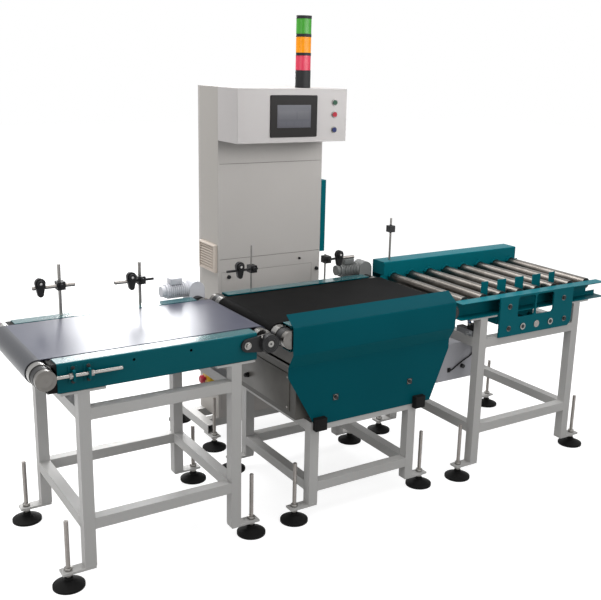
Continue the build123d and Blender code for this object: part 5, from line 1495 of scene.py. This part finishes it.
class Nodes:
    """Which finish each CAD node takes."""

    PLAIN: dict[Finish, tuple[str, ...]] = {
        OFF_WHITE: ("infeed_stand", "weigh_stand", "outfeed_stand", "cabinet_base"),
        CREAM: ("cabinet_door",),
        TEAL: ("outfeed_side_rails", "chain_guard", "pusher_plates", "pusher_carriage",
               "side_trunking"),
        HOUSING_GREY: ("weigh_carrier",),
        BRIGHT_STEEL: ("infeed_tail_drum", "weigh_tail_drum", "infeed_head_drum",
                       "weigh_head_drum", "pusher_guides", "door_latch"),
        ZINC: ("foot_studs", "roller_chain"),
        GALVANISED: ("infeed_bed", "weigh_bed"),
        ROLLER_STEEL: tuple(f"roller_{number}" for number in range(1, 9)),
        ALUMINIUM: ("load_cell",),
        BLACK_CASTING: ("head_bearings", "panel_screws"),
        BLACK_PLASTIC: ("tower_frame", "sensor_arm_1", "sensor_arm_2", "sensor_arm_3",
                        "sensor_arm_4"),
        BLACK_RUBBER: ("foot_pads", "rubber_blocks"),
        PANEL_GREY: ("touch_screen",),
        BEIGE: ("fan_filter",),
        YELLOW: ("stop_box",),
        RED_CAP: ("stop_button", "red_button", "tower_lenses"),
        GREEN_CAP: ("green_button",),
        BLUE_CAP: ("blue_button",),
        WEIGH_BELT: ("weigh_belt",),
    }

    ZONED: dict[str, tuple[Finish, tuple[Zone, ...]]] = {
        "tail_take_ups": (BLACK_CASTING, (
            Zone(HUB_STEEL, y=(-FAR_AWAY, -592.0)),
            Zone(HUB_STEEL, y=(-22.0, FAR_AWAY)),
            Zone(ZINC, x=(-1234.0, -1000.0)),
            Zone(ZINC, x=(-344.0, 0.0)),
        )),
        "gearmotors": (MOTOR_GREY, (Zone(SHADED_MOTOR, x=(100.0, FAR_AWAY)),)),
        # Painted shade where the infeed belt wraps round its tail drum.
        "infeed_belt": (INFEED_BELT, (Zone(WRAPPED_BELT_SHADE, x=(-1320.0, -1263.0)),)),
        "infeed_side_rails": (GLOSSY_TEAL, (Zone(FLANGE_TEAL, z=(803.4, FAR_AWAY)),)),
        "weigh_side_rails": (GLOSSY_TEAL, (Zone(FLANGE_TEAL, z=(807.4, FAR_AWAY)),)),
        "apron": (APRON_TEAL, (
            # Painted shade on the apron's tilted top strip.
            Zone(APRON_LIP_SHADE, z=(809.5, FAR_AWAY)),
            # Painted shade on the apron's sloping band.
            Zone(APRON_BAND_SHADE, y=(-620.5, FAR_AWAY), z=(646.0, 701.0)),
        )),
        "cabinet_body": (CREAM, (
            # Painted shade on the cabinet's left side.
            Zone(CREAM_SIDE_SHADE, (-236.0, -234.6), (271.5, 470.0), (100.0, 1640.0)),
            Zone(SEAM_SHADOW, (-227.0, 301.0), (271.2, 273.0), (1298.4, 1301.6)),
            Zone(SEAM_SHADOW, (-227.0, 301.0), (271.2, 273.0), (868.4, 871.6)),
            Zone(SEAM_SHADOW, (-219.0, 264.0), (271.2, 272.5), (809.0, 811.2)),
            Zone(SEAM_SHADOW, (262.6, 264.2), (271.2, 272.5), (146.0, 811.2)),
            Zone(SEAM_SHADOW, (-219.2, -217.6), (271.2, 272.5), (146.0, 811.2)),
        )),
        "load_cell_housing": (HOUSING_GREY, (
            Zone(HOUSING_EDGE, z=(0.0, 416.0)),
            Zone(HOUSING_EDGE, z=(616.0, FAR_AWAY)),
        )),
        "console": (CONSOLE_CREAM, (
            Zone(BRIGHT_STEEL, (230.0, 266.0), (80.0, 89.9), (1430.0, 1600.0)),
        )),
        "sensor_posts": (ZINC, (Zone(BLACK_CASTING, x=(490.0, 540.0), z=(985.0, 1025.0)),)),
        "air_controls": (BOX_GREY, (
            Zone(BLACK_PLASTIC, (545.0, 575.0), (-530.0, -507.1), (460.0, 495.0)),
            Zone(ALUMINIUM, (400.0, 640.0), (-580.0, -460.0), (625.0, 651.5)),
            Zone(BLACK_PLASTIC, (400.0, 640.0), (-580.0, -460.0), (651.5, 680.0)),
        )),
        "control_equipment": (GALVANISED, (
            Zone(MODULE_GREY, y=(298.2, 500.0), z=(990.0, 1190.0)),
            Zone(MODULE_PALE, y=(298.2, 500.0), z=(680.0, 850.0)),
            Zone(TERMINAL, y=(298.2, 500.0), z=(460.0, 530.0)),
        )),
    }

    def __init__(self, shop: Paintshop, nodes: dict[str, bpy.types.Object]) -> None:
        """Keep the paint shop and the frame's nodes."""
        self.shop = shop
        self.nodes = nodes

    def dress(self) -> None:
        """Finish every node of the frame."""
        coats = {name: self.shop.get(finish) for finish, names in self.PLAIN.items()
                 for name in names}
        for name, (base, zones) in self.ZONED.items():
            coats[name] = self.shop.zoned(f"{name}_coat", base, zones)
        for name, coat in coats.items():
            self.shop.dress(self.nodes[name], coat)
        for name in sorted(set(self.nodes) - set(coats)):
            log.warning("%s has no finish", name)


@dataclass
class Studio:
    """The floor, the lamps and the camera."""

    camera_place: Triple = (-1.9790, -3.2390, 1.7447)
    yaw: float = 33.05
    pitch: float = 14.78
    roll: float = 1.53
    focal_pixels: float = 884.99
    shift: Pair = (-0.0286, -0.0072)
    floor_size: float = 40.0
    floor_drop: float = 0.0005
    world_light: float = 0.45
    floor_tone: float = 0.36
    floor_glow: float = 0.85

    def floor(self) -> None:
        """A wide white floor that keeps the machine's shadow."""
        mesh = bmesh.new()
        bmesh.ops.create_grid(mesh, x_segments=1, y_segments=1, size=self.floor_size / 2)
        data = bpy.data.meshes.new("studio_floor")
        mesh.to_mesh(data)
        mesh.free()
        floor = bpy.data.objects.new("studio_floor", data)
        bpy.context.scene.collection.objects.link(floor)
        floor.location.z = -self.floor_drop
        material, graph, shader = Graph.material("white_floor")
        glow = graph.maths("MULTIPLY", self.seen(graph), self.floor_glow)
        graph.feed(shader, {
            "Base Color": (self.floor_tone,) * 3 + (1,), "Roughness": 0.9,
            "Specular IOR Level": 0.0, "Emission Color": (1, 1, 1, 1),
            "Emission Strength": glow})
        data.materials.append(material)

    @staticmethod
    def seen(graph: Graph) -> Socket:
        """Tell the rays that see a surface: camera, glossy and transmission.

        Args:
            graph: The nodes that ask.

        Returns:
            One for those rays, and nought for the others.
        """
        ray = graph.node("LightPath").outputs
        seen = graph.maths("MAXIMUM", ray["Is Camera Ray"], ray["Is Glossy Ray"])
        return graph.maths("MAXIMUM", seen, ray["Is Transmission Ray"])

    def world(self) -> None:
        """White to the camera and to reflections, and a softer light on the machine."""
        world = bpy.data.worlds.new("studio")
        bpy.context.scene.world = world
        world.use_nodes = True
        graph = Graph(world.node_tree)
        extra = graph.maths("MULTIPLY", self.seen(graph), 1.0 - self.world_light)
        graph.feed(graph.tree.nodes["Background"], {
            "Color": (1, 1, 1, 1), "Strength": graph.maths("ADD", extra, self.world_light)})

    @staticmethod
    def lamp(name: str, place: Triple, target: Triple, size: Pair, power: float) -> None:
        """A soft rectangular lamp.

        Args:
            name: The lamp's name.
            place: Where it hangs.
            target: What it faces.
            size: Its width and height.
            power: Its power in watts.
        """
        data = bpy.data.lights.new(name, "AREA")
        data.shape = "RECTANGLE"
        data.size, data.size_y = size
        data.energy = power
        lamp = bpy.data.objects.new(name, data)
        lamp.location = place
        aim = Vector(target) - Vector(place)
        lamp.rotation_euler = aim.to_track_quat("-Z", "Y").to_euler()
        lamp.visible_camera = False
        bpy.context.scene.collection.objects.link(lamp)

    def camera(self) -> None:
        """The photograph's camera, by its yaw, pitch, roll and focal length."""
        yaw, pitch, roll = (math.radians(v) for v in (self.yaw, self.pitch, self.roll))
        ahead = Vector((math.sin(yaw) * math.cos(pitch), math.cos(yaw) * math.cos(pitch),
                        -math.sin(pitch)))
        right = Vector((math.cos(yaw), -math.sin(yaw), 0))
        up = right.cross(ahead)
        image_right = math.cos(roll) * right + math.sin(roll) * up
        image_up = -math.sin(roll) * right + math.cos(roll) * up
        data = bpy.data.cameras.new("photo_camera")
        data.lens = self.focal_pixels / PHOTO_WIDTH * data.sensor_width
        data.shift_x, data.shift_y = self.shift
        data.clip_end = 200
        camera = bpy.data.objects.new("photo_camera", data)
        turn = Matrix((image_right, image_up, -ahead)).transposed().to_4x4()
        camera.matrix_world = Matrix.Translation(self.camera_place) @ turn
        bpy.context.scene.collection.objects.link(camera)
        bpy.context.scene.camera = camera

    def build(self) -> None:
        """Set up the whole studio."""
        self.floor()
        self.world()
        self.lamp("window", (0.75, 3.9, 1.6), (-0.5, -0.3, 0.9), (1.0, 1.3), 60)
        self.lamp("left", (-3.4, -1.0, 1.4), (0, -0.2, 0.7), (2.0, 1.4), 22)
        self.lamp("skylight", (0.8, 3.9, 2.7), (-0.5, -0.5, 0.8), (1.6, 0.9), 12)
        self.lamp("front", (1.6, -4.6, 2.2), (0.4, -0.2, 0.8), (3.4, 1.6), 38)
        self.lamp("overhead", (-0.6, 1.3, 4.3), (-0.2, -0.1, 0.8), (4.0, 2.2), 190)
        self.lamp("canopy", (0.45, -0.9, 1.8), (0.05, 0.27, 1.0), (1.8, 0.5), 11)
        self.camera()
        bpy.context.scene.view_settings.view_transform = "Standard"


STANDS = (
    ("infeed", (-1.144025, -0.589025), (-0.567, -0.047), (0.198, 0.595)),
    ("weigh", (-0.250025, 0.226975), (-0.567, -0.047), (0.111, 0.368)),
    ("outfeed", (0.568975, 1.135975), (-0.597, -0.017), (0.195, 0.586)),
)
EYES = (
    (1, "infeed", 0.223, 0.920, -0.076, ((-0.105, -0.094), (-0.058, -0.0165), (0.0165, 0.0528))),
    (2, "infeed", 0.537, 0.907, -0.040, ((-0.108, -0.058),)),
    (3, "weigh", 0.141, 0.900, -0.062),
    (4, "weigh", 0.513, 0.904, 0.063, ((0.081, 0.143),)),
)


def main() -> None:
    """Build the looks in order: finishes, sub-assemblies, studio."""
    logging.basicConfig(level=logging.INFO, format="%(name)s: %(message)s")
    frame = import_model()
    shop = Paintshop()
    Nodes(shop, frame["nodes"]).dress()
    parts = [
        LevellingFeet(shop), BeltConveyor(shop, "infeed", MOTOR_GREY),
        BeltConveyor(shop, "weigh", SHADED_MOTOR), Apron(shop), Outfeed(shop), Cabinet(shop),
        Electrics(shop), *(Welds(shop, *stand) for stand in STANDS), Housing(shop),
        TowerLight(shop),
    ]
    for part in parts:
        part.build()
    eyes = [Eye(shop, *eye) for eye in EYES]
    for eye in eyes:
        eye.barrels()
    for eye in eyes:
        eye.head()
    Studio().build()


if __name__ == "__main__":
    main()
